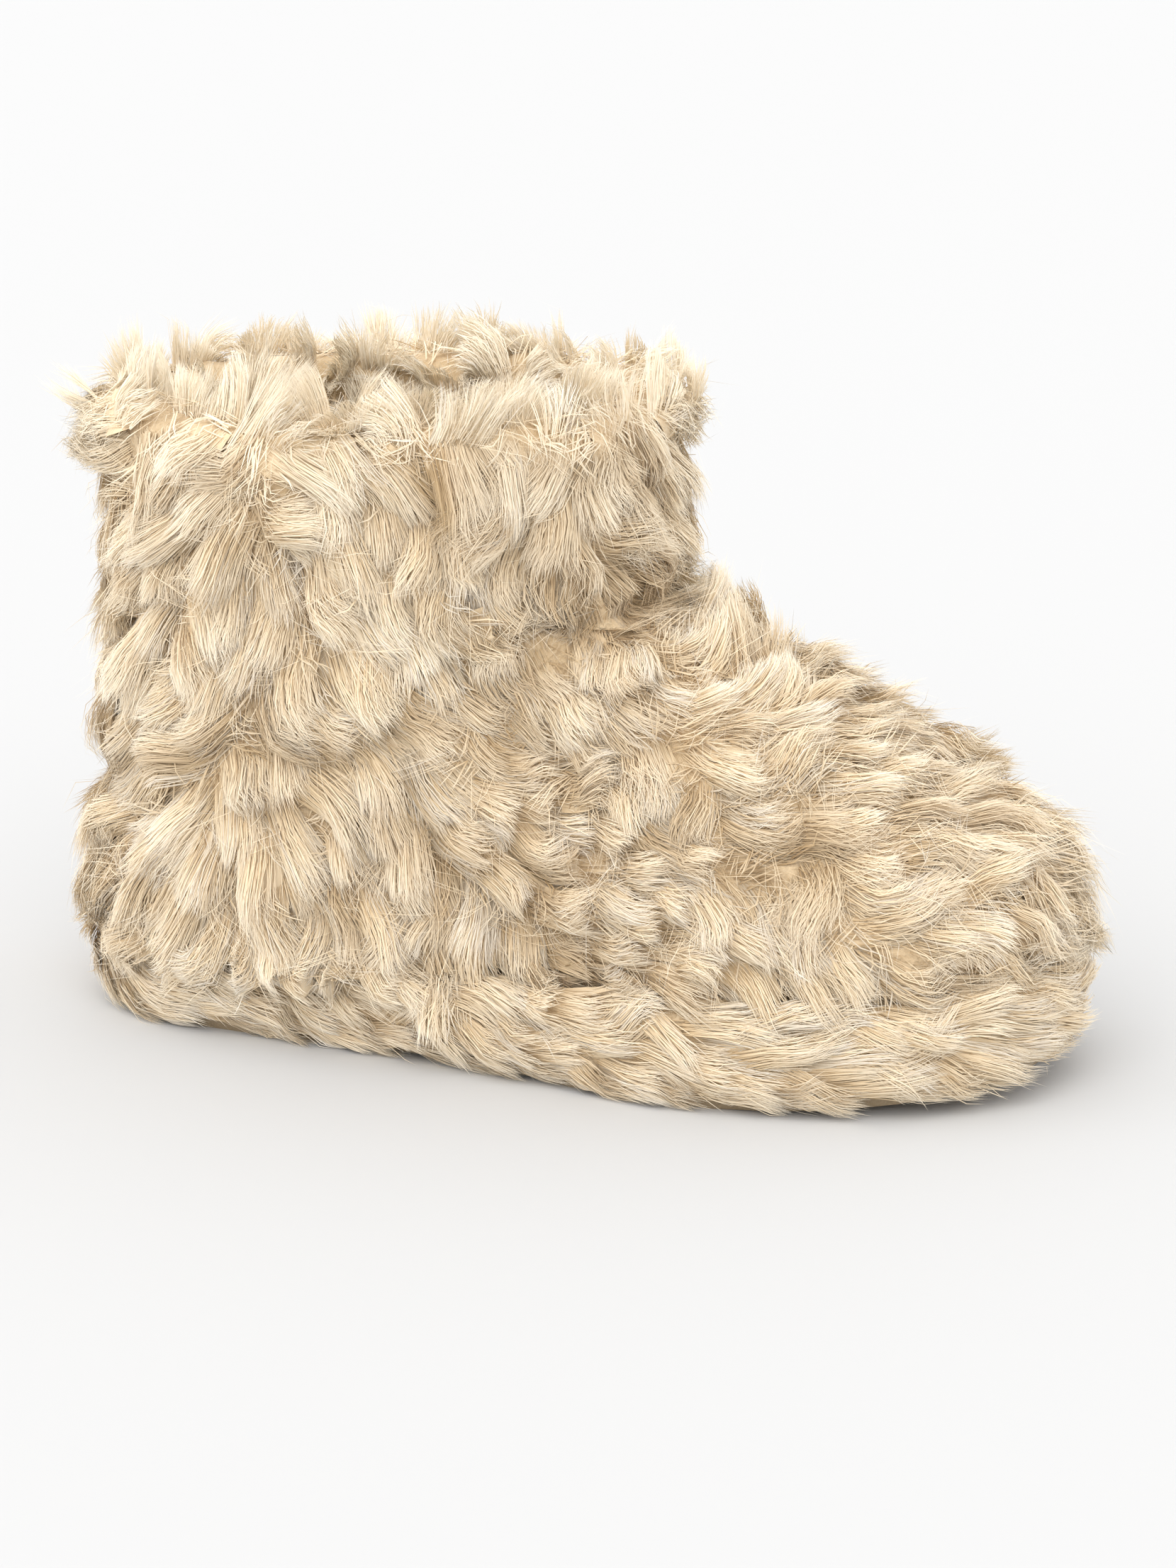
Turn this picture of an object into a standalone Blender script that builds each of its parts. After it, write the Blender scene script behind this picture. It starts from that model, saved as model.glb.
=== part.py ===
"""Fur bootie slipper, right shoe, standing empty on its sole.

Metres, +Z up, +X towards the toe, +Y towards the foot's inner side.
The origin is on the ground under the centre of the heel.

Four pieces make the shoe. The outsole is a thin rubber plate with a heel pad,
a raised waist and toe spring. The insole is a foam footbed that lies on it.
The upper is one hollow shell, lining and backing below and dense fur outside,
open at the collar and underneath. The fur band is a ring that wraps the edge
of the sole. Locks of long pile are fused on the upper and on the band.
"""

import math

import bmesh
import bpy
import numpy as np
from mathutils import Quaternion, Vector
from mathutils.bvhtree import BVHTree

# Foot and last
FOOT_LENGTH = 0.248  # inside the lining, heel to toe
BALL_WIDTH = 0.092  # inside the lining, across the ball
HEEL_CENTRE = 0.044  # from the lining's back end forward to the origin
TOE_BASE_HEIGHT = 0.021  # where the toe's front is upright
THROAT_HEIGHT = 0.108  # the vamp's ridge where it meets the shaft
THROAT_REACH = 0.088  # from the origin forward to that meeting
COLLAR_HEIGHT = 0.160  # the lining's upper edge above the ground
SHAFT_LENGTH = 0.126  # inside the lining, front to back
SHAFT_WIDTH = 0.090  # inside the lining, at the collar
ANKLE_WIDTH = 0.078  # inside the lining, at the ankle
THROAT_FILLET = 0.008  # softness of the corner between vamp and shaft

# Sole
OUTSOLE_THICKNESS = 0.005
OUTSOLE_MARGIN = 0.004  # how far the outsole reaches past the upper's wall
OUTSOLE_BEVEL = 0.0015
WAIST_RISE = 0.0012  # the waist's height between the heel pad and the ball pad
TOE_SPRING = 0.006
INSOLE_THICKNESS = 0.008
INSOLE_EDGE = 0.002  # rounding of the footbed's upper edge

# Wall and fur
LINING_WALL = 0.003  # lining and backing together
UNDERFUR = 0.0065  # dense pile close to the backing
COLLAR_SWELL = 0.005  # how much thicker the pile is at the collar
SWELL_START = 0.65  # share of the way up where it starts
SEAM_DEPTH = 0.003  # trough in the fur over the ankle seam
SEAM_WIDTH = 0.007
BAND_TOP = 0.029  # the band's upper edge above the ground
BAND_THICKNESS = 0.009
BAND_LIP = 0.0016  # the band's lowest edge above the ground
GAP = 0.0003  # between pieces that meet

# Locks of pile
LOCK_SPACING = 0.0210  # the least distance between two locks
LOCK_LENGTH = 0.034
LOCK_WIDTH = 0.017
LOCK_HEIGHT = 0.0060  # the crown's height above the dense pile
LOCK_WANDER = 0.3  # radians to either side of the pile's lie
BAND_LOCK_SPACING = 0.0215
BAND_LOCK_LENGTH = 0.034
BAND_LOCK_WIDTH = 0.013
BAND_LOCK_HEIGHT = 0.0035
BAND_LOCK_WANDER = 0.08
LOCK_SPREAD = 0.15  # how much longer or shorter than these a lock may be
LOCK_SINK = 0.0015  # the root's depth in the dense pile
LOCK_MARGIN = 0.0014  # kept between a lock and its piece's lower or upper edge
LOCK_SEED = 11
LOCK_TRIES = 4000  # places tried on each piece
LOCK_ATTEMPTS = 4  # at each place
WELD = 2e-5  # points closer than this become one
UPPER_LOCKS = {
    "spacing": LOCK_SPACING,
    "length": LOCK_LENGTH,
    "width": LOCK_WIDTH,
    "height": LOCK_HEIGHT,
    "wander": LOCK_WANDER,
}
BAND_LOCKS = {
    "spacing": BAND_LOCK_SPACING,
    "length": BAND_LOCK_LENGTH,
    "width": BAND_LOCK_WIDTH,
    "height": BAND_LOCK_HEIGHT,
    "wander": BAND_LOCK_WANDER,
}
MEETING = 0.8  # where the band's two runs meet, from the middle 0 to the toe 1

# Mesh fineness
STATIONS = 21  # along each side of a ring
FINE = 401  # samples of a profile

# The insole's plan: share of the length, the centre line's shift to the inner
# side and the half width, both as shares of the ball width. The half width is
# that of an ellipse of the whole length, times this share.
PLAN = (
    # along, centre, half
    (0.00, 0.000, 0.700),
    (0.06, 0.000, 0.640),
    (0.16, 0.000, 0.500),
    (0.30, -0.012, 0.395),
    (0.42, -0.025, 0.375),
    (0.55, -0.015, 0.435),
    (0.68, 0.005, 0.530),
    (0.80, 0.025, 0.590),
    (0.90, 0.040, 0.650),
    (1.00, 0.045, 0.720),
)

# The vamp's ridge: share of the way from throat to toe, and share of the drop
# that is still to come.
RIDGE = (
    # along, height
    (0.00, 1.000),
    (0.25, 0.910),
    (0.45, 0.765),
    (0.62, 0.632),
    (0.78, 0.515),
    (0.88, 0.430),
    (0.95, 0.320),
    (0.985, 0.180),
    (1.00, 0.000),
)

# The heel's back line: share of the collar height, and how far forward of the
# lining's back end, as a share of the heel centre.
BACK = (
    # up, forward
    (0.00, 0.02),
    (0.18, 0.00),
    (0.28, 0.03),
    (0.40, 0.12),
    (0.54, 0.17),
    (0.70, 0.22),
    (0.85, 0.24),
    (1.00, 0.20),
)

# Heights of the upper's rings, as shares of the way from band top to collar.
OUTER_LEVELS = (0.0, 0.07, 0.16, 0.25, 0.34, 0.44, 0.55, 0.67, 0.83, 1.0)
INNER_LEVELS = (0.80, 0.62, 0.50, 0.38, 0.24, 0.08)

# The rolled collar: growth from the lining as a share of the wall with its
# dense pile, and height over the lining's edge as a share of the dense pile.
COLLAR_ROLL = (
    # out, up
    (0.96, 0.70),
    (0.72, 1.20),
    (0.28, 1.38),
    (-0.12, 1.10),
    (-0.34, 0.35),
    (-0.20, -1.60),
)
COLLAR_LEAN = 0.006  # how much higher the collar is in front than behind

# The band's outer side: growth as a share of the band's thickness, height as a
# share of the way from its lip to its top.
BAND_SIDE = (
    # out, up
    (0.72, 0.00),
    (0.98, 0.10),
    (1.10, 0.35),
    (1.08, 0.65),
    (0.92, 0.90),
    (0.70, 1.00),
)

# The ankle seam, seen from the side: share of the foot's length and share of
# the collar height.
ANKLE_SEAM = (
    # along, up
    (-0.10, 0.40),
    (0.15, 0.38),
    (0.30, 0.44),
    (0.40, 0.56),
    (0.52, 0.70),
    (0.60, 0.74),
)

# How the pile lies on the outer side, seen from the viewpoint below: across
# from the origin as a share of the foot's length, up from it as a share of the
# collar height, and the angle in degrees, where 0 points right, towards the
# toe, and 90 points up.
VIEW_TURN = 20  # degrees round from the outer side towards the toe
VIEW_RISE = 16.5  # degrees above the ground
PILE_CHART = (
    # across, up, lie
    (-0.20, 1.09, 140),
    (-0.11, 1.09, 105),
    (0.01, 1.09, 80),
    (0.11, 1.05, 50),
    (0.21, 1.09, 85),
    (0.29, 1.09, 70),
    (0.39, 1.06, 40),
    (0.42, 0.94, 10),
    (-0.22, 0.97, 195),
    (-0.16, 0.91, 180),
    (-0.15, 0.84, 215),
    (-0.11, 0.84, 262),
    (-0.05, 0.99, 325),
    (0.05, 0.89, 329),
    (0.15, 1.00, 10),
    (0.15, 0.89, 327),
    (-0.07, 0.86, 199),
    (-0.09, 0.80, 195),
    (-0.06, 0.71, 237),
    (-0.04, 0.67, 268),
    (0.03, 0.77, 320),
    (-0.15, 0.65, 215),
    (0.21, 0.94, 330),
    (0.25, 0.90, 300),
    (0.28, 0.86, 280),
    (0.33, 0.96, 290),
    (0.36, 0.96, 320),
    (0.19, 0.97, 350),
    (0.25, 0.76, 240),
    (0.11, 0.72, 270),
    (0.38, 0.77, 322),
    (0.37, 0.71, 345),
    (-0.13, 0.57, 230),
    (0.02, 0.52, 262),
    (-0.13, 0.37, 203),
    (-0.11, 0.22, 225),
    (-0.02, 0.15, 270),
    (0.02, 0.23, 305),
    (0.06, 0.35, 350),
    (0.10, 0.26, 280),
    (-0.24, 0.18, 215),
    (-0.22, 0.02, 200),
    (0.18, 0.53, 308),
    (0.28, 0.35, 0),
    (0.15, 0.20, 268),
    (0.24, 0.26, 312),
    (0.31, 0.24, 17),
    (0.38, 0.23, 337),
    (0.42, 0.31, 270),
    (0.22, 0.09, 275),
    (0.35, 0.15, 0),
    (0.33, 0.53, 265),
    (0.48, 0.55, 85),
    (0.54, 0.53, 88),
    (0.58, 0.52, 40),
    (0.60, 0.45, 10),
    (0.64, 0.41, 340),
    (0.47, 0.36, 330),
    (0.52, 0.35, 20),
    (0.55, 0.14, 272),
    (0.57, 0.04, 297),
    (0.64, 0.10, 345),
    (0.38, 0.13, 30),
    (0.43, 0.16, 0),
    (0.48, 0.11, 320),
    (0.67, 0.20, 36),
    (0.71, 0.24, 0),
    (0.75, 0.18, 315),
    (0.69, 0.43, 30),
    (0.84, 0.33, 15),
    (0.86, 0.18, 350),
    (0.86, -0.01, 325),
)
INNER_SHIFT = 0.09  # the inner side repeats the chart, this share of the length on
CHART_POWER = 3.5  # how sharply the nearest entry of the chart decides

TOE_X = FOOT_LENGTH - HEEL_CENTRE
HEEL_X = -HEEL_CENTRE
OUTSOLE_TOP = OUTSOLE_THICKNESS
FLOOR_OF_UPPER = OUTSOLE_TOP + GAP
UPPER_SHELF = BAND_TOP + GAP
FULL_WALL = LINING_WALL + UNDERFUR
SHAFT_RADIUS = SHAFT_LENGTH / 2
SEAT = 0.30  # share of the length where the heel pad ends
BALL = 0.50  # share of the length where the ball pad begins
SPRING_START = 0.72  # share of the length where the toe spring begins


def smooth(table, column, at):
    """The table's column as a smooth curve over its first column."""
    rows = np.array(table, float)
    x, y = rows[:, 0], rows[:, column]
    slope = np.gradient(y, x)
    at = np.clip(np.asarray(at, float), x[0], x[-1])
    i = np.clip(np.searchsorted(x, at, side="right") - 1, 0, len(x) - 2)
    h = x[i + 1] - x[i]
    t = (at - x[i]) / h
    rise = (1 + 2 * t) * (1 - t) ** 2 * y[i] + t * (1 - t) ** 2 * h * slope[i]
    return rise + t * t * (3 - 2 * t) * y[i + 1] + t * t * (t - 1) * h * slope[i + 1]


def rounded(share, power):
    """The quarter curve that falls from 1 to 0 as share goes from 0 to 1."""
    return (1 - np.clip(np.abs(share), 0, 1) ** power) ** (1 / power)


def spring(x):
    """The toe spring's rise at x, which every piece follows."""
    start = HEEL_X + SPRING_START * FOOT_LENGTH
    share = np.clip((np.asarray(x, float) - start) / (TOE_X - start), 0, 1.3)
    return TOE_SPRING * share**2


def plan_side(side, grow):
    """One side of the foot's plan, grown outwards: x and y of points from heel to toe."""
    turn = np.linspace(0, math.pi, FINE)
    along = (1 - np.cos(turn)) / 2
    half = smooth(PLAN, 2, along) * np.sin(turn)
    x = HEEL_X + along * FOOT_LENGTH
    y = (smooth(PLAN, 1, along) + side * half) * BALL_WIDTH
    dx, dy = np.gradient(x), np.gradient(y)
    length = np.hypot(dx, dy)
    nx, ny = -side * dy / length, side * dx / length
    # The ends point straight back and straight forward.
    nx[0], ny[0], nx[-1], ny[-1] = -1, 0, 1, 0
    return x + nx * grow, y + ny * grow


def grown_ridge(grow):
    """The vamp's ridge grown outwards: heights at fine steps of x."""
    share = np.linspace(0, 1, FINE)
    x = THROAT_REACH + share * (TOE_X - THROAT_REACH)
    z = TOE_BASE_HEIGHT + smooth(RIDGE, 1, share) * (THROAT_HEIGHT - TOE_BASE_HEIGHT)
    behind = np.linspace(HEEL_X, THROAT_REACH, FINE)[:-1]
    rise = (z[0] - z[1]) / (x[1] - x[0])
    z = np.concatenate([z[0] + (THROAT_REACH - behind) * rise, z])
    x = np.concatenate([behind, x])
    at = np.linspace(HEEL_X - grow, TOE_X + grow, 2 * FINE)
    reach = grow**2 - (at[:, None] - x[None, :]) ** 2
    lifted = np.where(reach >= 0, z + np.sqrt(np.maximum(reach, 0)), -1)
    return at, np.maximum.accumulate(lifted.max(1)[::-1])[::-1]


class Form:
    """The shoe's outer form at one distance from the lining, cut at any height."""

    def __init__(self, grow):
        self.grow = grow
        self.outer = plan_side(-1, grow)
        self.inner = plan_side(1, grow)
        self.ridge = grown_ridge(grow) if grow > 0 else grown_ridge(1e-6)
        self.toe = TOE_X + grow

    def back(self, z):
        return HEEL_X + smooth(BACK, 1, z / COLLAR_HEIGHT) * HEEL_CENTRE - self.grow

    def vamp_front(self, z):
        x, height = self.ridge
        return float(np.interp(-z, -height, x)) if z > TOE_BASE_HEIGHT else self.toe

    def shaft_front(self):
        return self.back(COLLAR_HEIGHT) + SHAFT_LENGTH + 2 * self.grow

    def front(self, z):
        """The ring's front end, and how far the fillet carries it past both forms."""
        vamp, shaft = self.vamp_front(z), self.shaft_front()
        most = max(vamp, shaft)
        apart = abs(vamp - shaft) / THROAT_FILLET
        extra = THROAT_FILLET * math.log(1 + math.exp(-apart))
        return most + extra, extra

    def foot_half(self, x, z, side):
        """How far the foot's part reaches sideways from the centre line at x."""
        px, py = self.outer if side < 0 else self.inner
        centre = smooth(PLAN, 1, (x - HEEL_X) / FOOT_LENGTH) * BALL_WIDTH
        half = np.abs(np.interp(x, px, py) - centre)
        height = np.interp(x, *self.ridge)
        share = (z - TOE_BASE_HEIGHT) / np.maximum(height - TOE_BASE_HEIGHT, 1e-6)
        return half * rounded(np.clip(share, 0, 1), 2.4)

    def shaft_half(self, x, z):
        """How far the shaft reaches sideways at x."""
        up = np.clip((z - BAND_TOP) / (COLLAR_HEIGHT - BAND_TOP), 0, 1)
        width = ANKLE_WIDTH + (SHAFT_WIDTH - ANKLE_WIDTH) * up
        radius = (self.shaft_front() - self.back(z)) / 2
        middle = self.back(z) + radius
        return (width / 2 + self.grow) * rounded((x - middle) / radius, 2.3)

    def ring(self, z):
        """A closed ring of points at height z: heel, outer side, toe, inner side."""
        start = self.back(z)
        end, extra = self.front(z)
        turn = np.linspace(0, math.pi, STATIONS)
        x = start + (end - start) * (1 - np.cos(turn)) / 2
        known = x - extra * ((x - start) / (end - start)) ** 2
        # Below the ankle the heel's back line leans on the plan's own end.
        plan_start = HEEL_X - self.grow
        leaned = plan_start + (known - start) * (self.toe - plan_start) / (self.toe - start)
        centre = smooth(PLAN, 1, (leaned - HEEL_X) / FOOT_LENGTH) * BALL_WIDTH
        centre = centre * np.clip((leaned - HEEL_X) / FOOT_LENGTH, 0, 1)
        sides = []
        for side in (-1, 1):
            foot = self.foot_half(leaned, z, side)
            shaft = self.shaft_half(known, z)
            half = (foot**4 + shaft**4) ** 0.25
            half[0] = half[-1] = 0
            sides.append(centre + side * half)
        outer, inner = sides
        inner[0] = outer[0]
        inner[-1] = outer[-1]
        x = np.concatenate([x, x[-2:0:-1]])
        y = np.concatenate([outer, inner[-2:0:-1]])
        raised = np.clip((z - THROAT_HEIGHT) / (COLLAR_HEIGHT - THROAT_HEIGHT), 0, 1)
        lean = COLLAR_LEAN * raised * ((x - start) / (end - start) - 0.5)
        return np.stack([x, y, z + spring(x) + lean], axis=1)


def seam_height(x):
    """The ankle seam's height at x."""
    return smooth(ANKLE_SEAM, 1, (x - HEEL_X) / FOOT_LENGTH) * COLLAR_HEIGHT


def seam_trough(ring):
    """How much of its depth the ankle seam's trough takes at each of the ring's points."""
    away = (ring[:, 2] - seam_height(ring[:, 0])) / SEAM_WIDTH
    return np.exp(-(away**2)) * (ring[:, 0] < THROAT_REACH + FULL_WALL)


def plan_ring(grow, height):
    """A closed ring on the foot's plan, grown outwards, with the toe spring."""
    chosen = np.linspace(0, FINE - 1, STATIONS).round().astype(int)
    outer = np.stack(plan_side(-1, grow), axis=1)[chosen]
    inner = np.stack(plan_side(1, grow), axis=1)[chosen]
    flat = np.concatenate([outer, inner[-2:0:-1]])
    return np.column_stack([flat, height + spring(flat[:, 0])])


def new_object(name, points, faces, material):
    mesh = bpy.data.meshes.new(name)
    mesh.from_pydata([tuple(p) for p in points], [], faces)
    mesh.update()
    obj = bpy.data.objects.new(name, mesh)
    bpy.context.scene.collection.objects.link(obj)
    obj.data.materials.append(material)
    obj.data.shade_smooth()
    obj.data.set_sharp_from_angle(angle=math.radians(40))
    return obj


def bands_between(count, rings, closed):
    """Quads between neighbouring rings of count points."""
    faces = []
    last = rings if closed else rings - 1
    for r in range(last):
        low, high = r * count, (r + 1) % rings * count
        for i in range(count):
            j = (i + 1) % count
            faces.append((low + i, low + j, high + j, high + i))
    return faces


def cap(first, count, upwards):
    """Strips across a ring, from its outer side to its inner side."""
    half = count // 2
    faces = []
    for i in range(half):
        a, b = first + i, first + i + 1
        c, d = first + (count - i - 1) % count, first + (count - i) % count
        face = [a, b, c, d] if d != a else [a, b, c]
        if b == c:
            face = [a, b, d]
        faces.append(tuple(face if upwards else face[::-1]))
    return faces


def material(name, colour, roughness):
    made = bpy.data.materials.new(name)
    made.use_nodes = True
    shader = made.node_tree.nodes["Principled BSDF"]
    shader.inputs["Base Color"].default_value = (*colour, 1)
    shader.inputs["Roughness"].default_value = roughness
    shader.inputs["Metallic"].default_value = 0
    return made


def plate(name, rings, finish):
    """A closed plate from its lowest ring up to its highest."""
    count = len(rings[0])
    points = np.concatenate(rings)
    faces = bands_between(count, len(rings), closed=False)
    faces += cap(0, count, upwards=False)
    faces += cap(count * (len(rings) - 1), count, upwards=True)
    return new_object(name, points, faces, finish)


def make_outsole(finish):
    grow = LINING_WALL + GAP + OUTSOLE_MARGIN
    tread = plan_ring(grow - OUTSOLE_BEVEL, 0)
    along = (tread[:, 0] - HEEL_X) / FOOT_LENGTH
    waist = np.where((along > SEAT) & (along < BALL), WAIST_RISE, 0)
    tread[:, 2] += waist
    rings = [
        tread,
        plan_ring(grow, OUTSOLE_BEVEL + WAIST_RISE),
        plan_ring(grow, OUTSOLE_TOP),
    ]
    return plate("outsole", rings, finish)


def make_insole(finish):
    top = FLOOR_OF_UPPER + INSOLE_THICKNESS
    rings = [
        plan_ring(-GAP, FLOOR_OF_UPPER),
        plan_ring(-GAP, top - INSOLE_EDGE),
        plan_ring(-GAP - INSOLE_EDGE, top),
    ]
    return plate("insole", rings, finish)


def torus(name, rings, finish):
    """A closed shell from a cycle of rings, each next to the one before."""
    faces = bands_between(len(rings[0]), len(rings), closed=True)
    return new_object(name, np.concatenate(rings), faces, finish)


def pressed(form, bare, z):
    """The form's ring at z with the ankle seam pressed in towards the bare wall."""
    ring, inside = form.ring(z), bare.ring(z)
    share = seam_trough(ring)[:, None] * SEAM_DEPTH / UNDERFUR
    return ring + (inside - ring) * share


def upper_rings():
    """The upper's rings: up its outer side, over the collar and down its lining."""
    lining, bare = Form(0), Form(LINING_WALL)
    rise = COLLAR_HEIGHT - UPPER_SHELF
    rings = [plan_ring(LINING_WALL, FLOOR_OF_UPPER), plan_ring(LINING_WALL, UPPER_SHELF)]
    for up in OUTER_LEVELS:
        swell = COLLAR_SWELL * np.clip((up - SWELL_START) / (1 - SWELL_START), 0, 1)
        rings.append(pressed(Form(FULL_WALL + swell), bare, UPPER_SHELF + up * rise))
    for out, up in COLLAR_ROLL:
        roll = Form(out * (FULL_WALL + COLLAR_SWELL)).ring(COLLAR_HEIGHT)
        roll[:, 2] += up * UNDERFUR
        rings.append(roll)
    rings += [lining.ring(UPPER_SHELF + up * rise) for up in INNER_LEVELS]
    rings += [plan_ring(0, UPPER_SHELF - GAP), plan_ring(0, FLOOR_OF_UPPER)]
    return rings


def band_rings():
    """The band's rings: down its inner side, round its lip and up its outer side."""
    inner = LINING_WALL + GAP
    beside_sole = inner + OUTSOLE_MARGIN + GAP
    rings = [
        plan_ring(inner, BAND_TOP),
        plan_ring(inner, OUTSOLE_TOP + GAP),
        plan_ring(beside_sole, OUTSOLE_TOP + GAP),
        plan_ring(beside_sole, BAND_LIP),
    ]
    for out, up in BAND_SIDE:
        height = BAND_LIP + up * (BAND_TOP - BAND_LIP)
        rings.append(plan_ring(inner + out * BAND_THICKNESS, height))
    return rings


def charted(points):
    """The chart's direction for points seen from the viewpoint, as vectors."""
    turn, rise = math.radians(VIEW_TURN), math.radians(VIEW_RISE)
    right = np.array([math.cos(turn), math.sin(turn), 0])
    up = np.array([-math.sin(turn) * math.sin(rise), math.cos(turn) * math.sin(rise), math.cos(rise)])
    rows = np.array(PILE_CHART, float)
    across = (points @ right)[:, None] - rows[:, 0] * FOOT_LENGTH
    above = (points @ up)[:, None] - rows[:, 1] * COLLAR_HEIGHT
    weight = (np.hypot(across, above) + 0.003) ** -CHART_POWER
    angle = np.radians(rows[:, 2])
    share = weight @ np.stack([np.cos(angle), np.sin(angle)], axis=1)
    share /= np.linalg.norm(share, axis=1, keepdims=True) + 1e-9
    return share[:, :1] * right + share[:, 1:] * up


def pile_lie(points):
    """How the pile lies at points anywhere on the shoe, as unit vectors."""
    mirrored = points * (1, -1, 1) + (INNER_SHIFT * FOOT_LENGTH, 0, 0)
    inner = charted(mirrored) * (1, -1, 1)
    share = np.clip(points[:, 1:2] / (BALL_WIDTH / 3), 0, 1)
    lie = charted(points) * (1 - share) + inner * share
    # On top of the collar the pile lies outwards.
    middle = (HEEL_X + BACK[-1][1] * HEEL_CENTRE + SHAFT_RADIUS, 0, COLLAR_HEIGHT)
    outwards = (points - middle) * (1, 1, 0)
    outwards /= np.linalg.norm(outwards, axis=1, keepdims=True) + 1e-9
    lean = COLLAR_LEAN * (points[:, :1] - middle[0]) / SHAFT_LENGTH
    over = np.clip((points[:, 2:] - lean - COLLAR_HEIGHT) / UNDERFUR, 0, 1)
    lie = lie * (1 - over) + outwards * over
    return lie / (np.linalg.norm(lie, axis=1, keepdims=True) + 1e-9)


def band_lie(points):
    """Along the band towards the toe, and round the toe to the inner side."""
    middle = np.array((HEEL_X + FOOT_LENGTH / 2, 0, 0))
    out = (points - middle) / (FOOT_LENGTH / 2, BALL_WIDTH / 2, 1)
    onward = np.stack([-out[:, 1], out[:, 0] * BALL_WIDTH / FOOT_LENGTH, 0 * out[:, 0]], axis=1)
    onward[(out[:, 1] > 0) & (out[:, 0] < MEETING)] *= -1
    return onward / np.linalg.norm(onward, axis=1, keepdims=True)


class Skin:
    """A surface that locks are laid along."""

    def __init__(self, obj, lie):
        bm = bmesh.new()
        bm.from_mesh(obj.data)
        self.tree = BVHTree.FromBMesh(bm)
        self.lie = lie
        bm.free()

    def walk(self, start, length, steps, turn):
        """Points and normals along the surface, following the pile's lie."""
        place, normal, _, _ = self.tree.find_nearest(Vector(start))
        run = [(place, normal)]
        for _ in range(steps):
            lie = Vector(self.lie(np.array([place]))[0])
            lie -= normal * lie.dot(normal)
            lie.rotate(Quaternion(normal, turn))
            place, normal, _, _ = self.tree.find_nearest(place + lie.normalized() * (length / steps))
            run.append((place, normal))
        return run


# A lock's sections, each a triangle: share of its length, of its width, the
# crown's height as a share of the lock's own, and the depth of its lower edges
# as a share of LOCK_SINK. The tip follows as a single point.
LOCK_SECTIONS = (
    # along, width, crown, sink
    (0.00, 0.60, 0.05, 1.0),
    (0.34, 1.00, 0.75, 1.0),
    (0.72, 0.85, 1.00, 0.7),
)
LOCK_TIP = 0.75  # the tip's height as a share of the crown's
LOCK_BACK = 0.4  # how far its root lies behind its place, as a share of its length
WALK_STEPS = 6


def make_lock(skin, middle, kind, heights, rng):
    """One closed lock, lying along the skin with its tip raised, between two heights."""
    bm = bmesh.new()
    size = rng.uniform(1 - LOCK_SPREAD, 1 + LOCK_SPREAD)
    length, width, height = (kind[k] * size for k in ("length", "width", "height"))
    turn = rng.uniform(-1, 1) * kind["wander"]
    root = skin.walk(middle, -LOCK_BACK * length, 2, turn)[-1][0]
    run = skin.walk(root, length, WALK_STEPS, turn)

    def on_run(share):
        at = min(share * WALK_STEPS, WALK_STEPS - 1e-3)
        i = int(at)
        place = run[i][0].lerp(run[i + 1][0], at - i)
        return place, run[i][1].lerp(run[i + 1][1], at - i).normalized()

    rings = []
    for along, wide, crown, sink in LOCK_SECTIONS:
        place, normal = on_run(along)
        ahead, _ = on_run(min(along + 0.1, 1))
        behind, _ = on_run(max(along - 0.1, 0))
        across = normal.cross(ahead - behind).normalized()
        reach = across * (wide * width / 2)
        base = place - normal * (sink * LOCK_SINK)
        corners = (base - reach, place + normal * (crown * height), base + reach)
        rings.append([bm.verts.new(c) for c in corners])
    place, normal = on_run(1)
    tip = bm.verts.new(place + normal * (LOCK_TIP * height))
    for low, high in zip(rings, rings[1:]):
        for i in range(3):
            j = (i + 1) % 3
            bm.faces.new((low[i], low[j], high[j], high[i]))
    for i in range(3):
        bm.faces.new((rings[-1][i], rings[-1][(i + 1) % 3], tip))
    bm.faces.new(rings[0][::-1])
    for vert in bm.verts:
        rise = float(spring(vert.co.x))
        vert.co.z = min(max(vert.co.z, heights[0] + rise), heights[1] + rise)
    bmesh.ops.triangulate(bm, faces=bm.faces)
    bmesh.ops.recalc_face_normals(bm, faces=bm.faces)
    return bm


def crosses_itself(lock):
    tree = BVHTree.FromBMesh(lock)
    corners = [set(face.verts) for face in lock.faces]
    return any(not corners[a] & corners[b] for a, b in tree.overlap(tree))


def with_lock(obj, lock):
    """The object's mesh with one lock fused on."""
    mesh = bpy.data.meshes.new("lock")
    lock.to_mesh(mesh)
    helper = bpy.data.objects.new("lock", mesh)
    bpy.context.scene.collection.objects.link(helper)
    union = obj.modifiers.new("fused_lock", "BOOLEAN")
    union.operation = "UNION"
    union.object = helper
    # The exact solver loses most of the upper where many locks cross.
    union.solver = "MANIFOLD"
    depsgraph = bpy.context.evaluated_depsgraph_get()
    fused = bpy.data.meshes.new_from_object(obj.evaluated_get(depsgraph))
    obj.modifiers.clear()
    bpy.data.objects.remove(helper)
    bpy.data.meshes.remove(mesh)
    return fused


def welded(mesh):
    """Makes points closer than WELD one, and says whether each edge keeps two faces."""
    bm = bmesh.new()
    bm.from_mesh(mesh)
    bmesh.ops.remove_doubles(bm, verts=bm.verts, dist=WELD)
    bmesh.ops.dissolve_degenerate(bm, edges=bm.edges, dist=WELD)
    bmesh.ops.triangulate(bm, faces=bm.faces)
    sound = all(len(edge.link_faces) == 2 for edge in bm.edges)
    bm.to_mesh(mesh)
    bm.free()
    return sound


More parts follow.
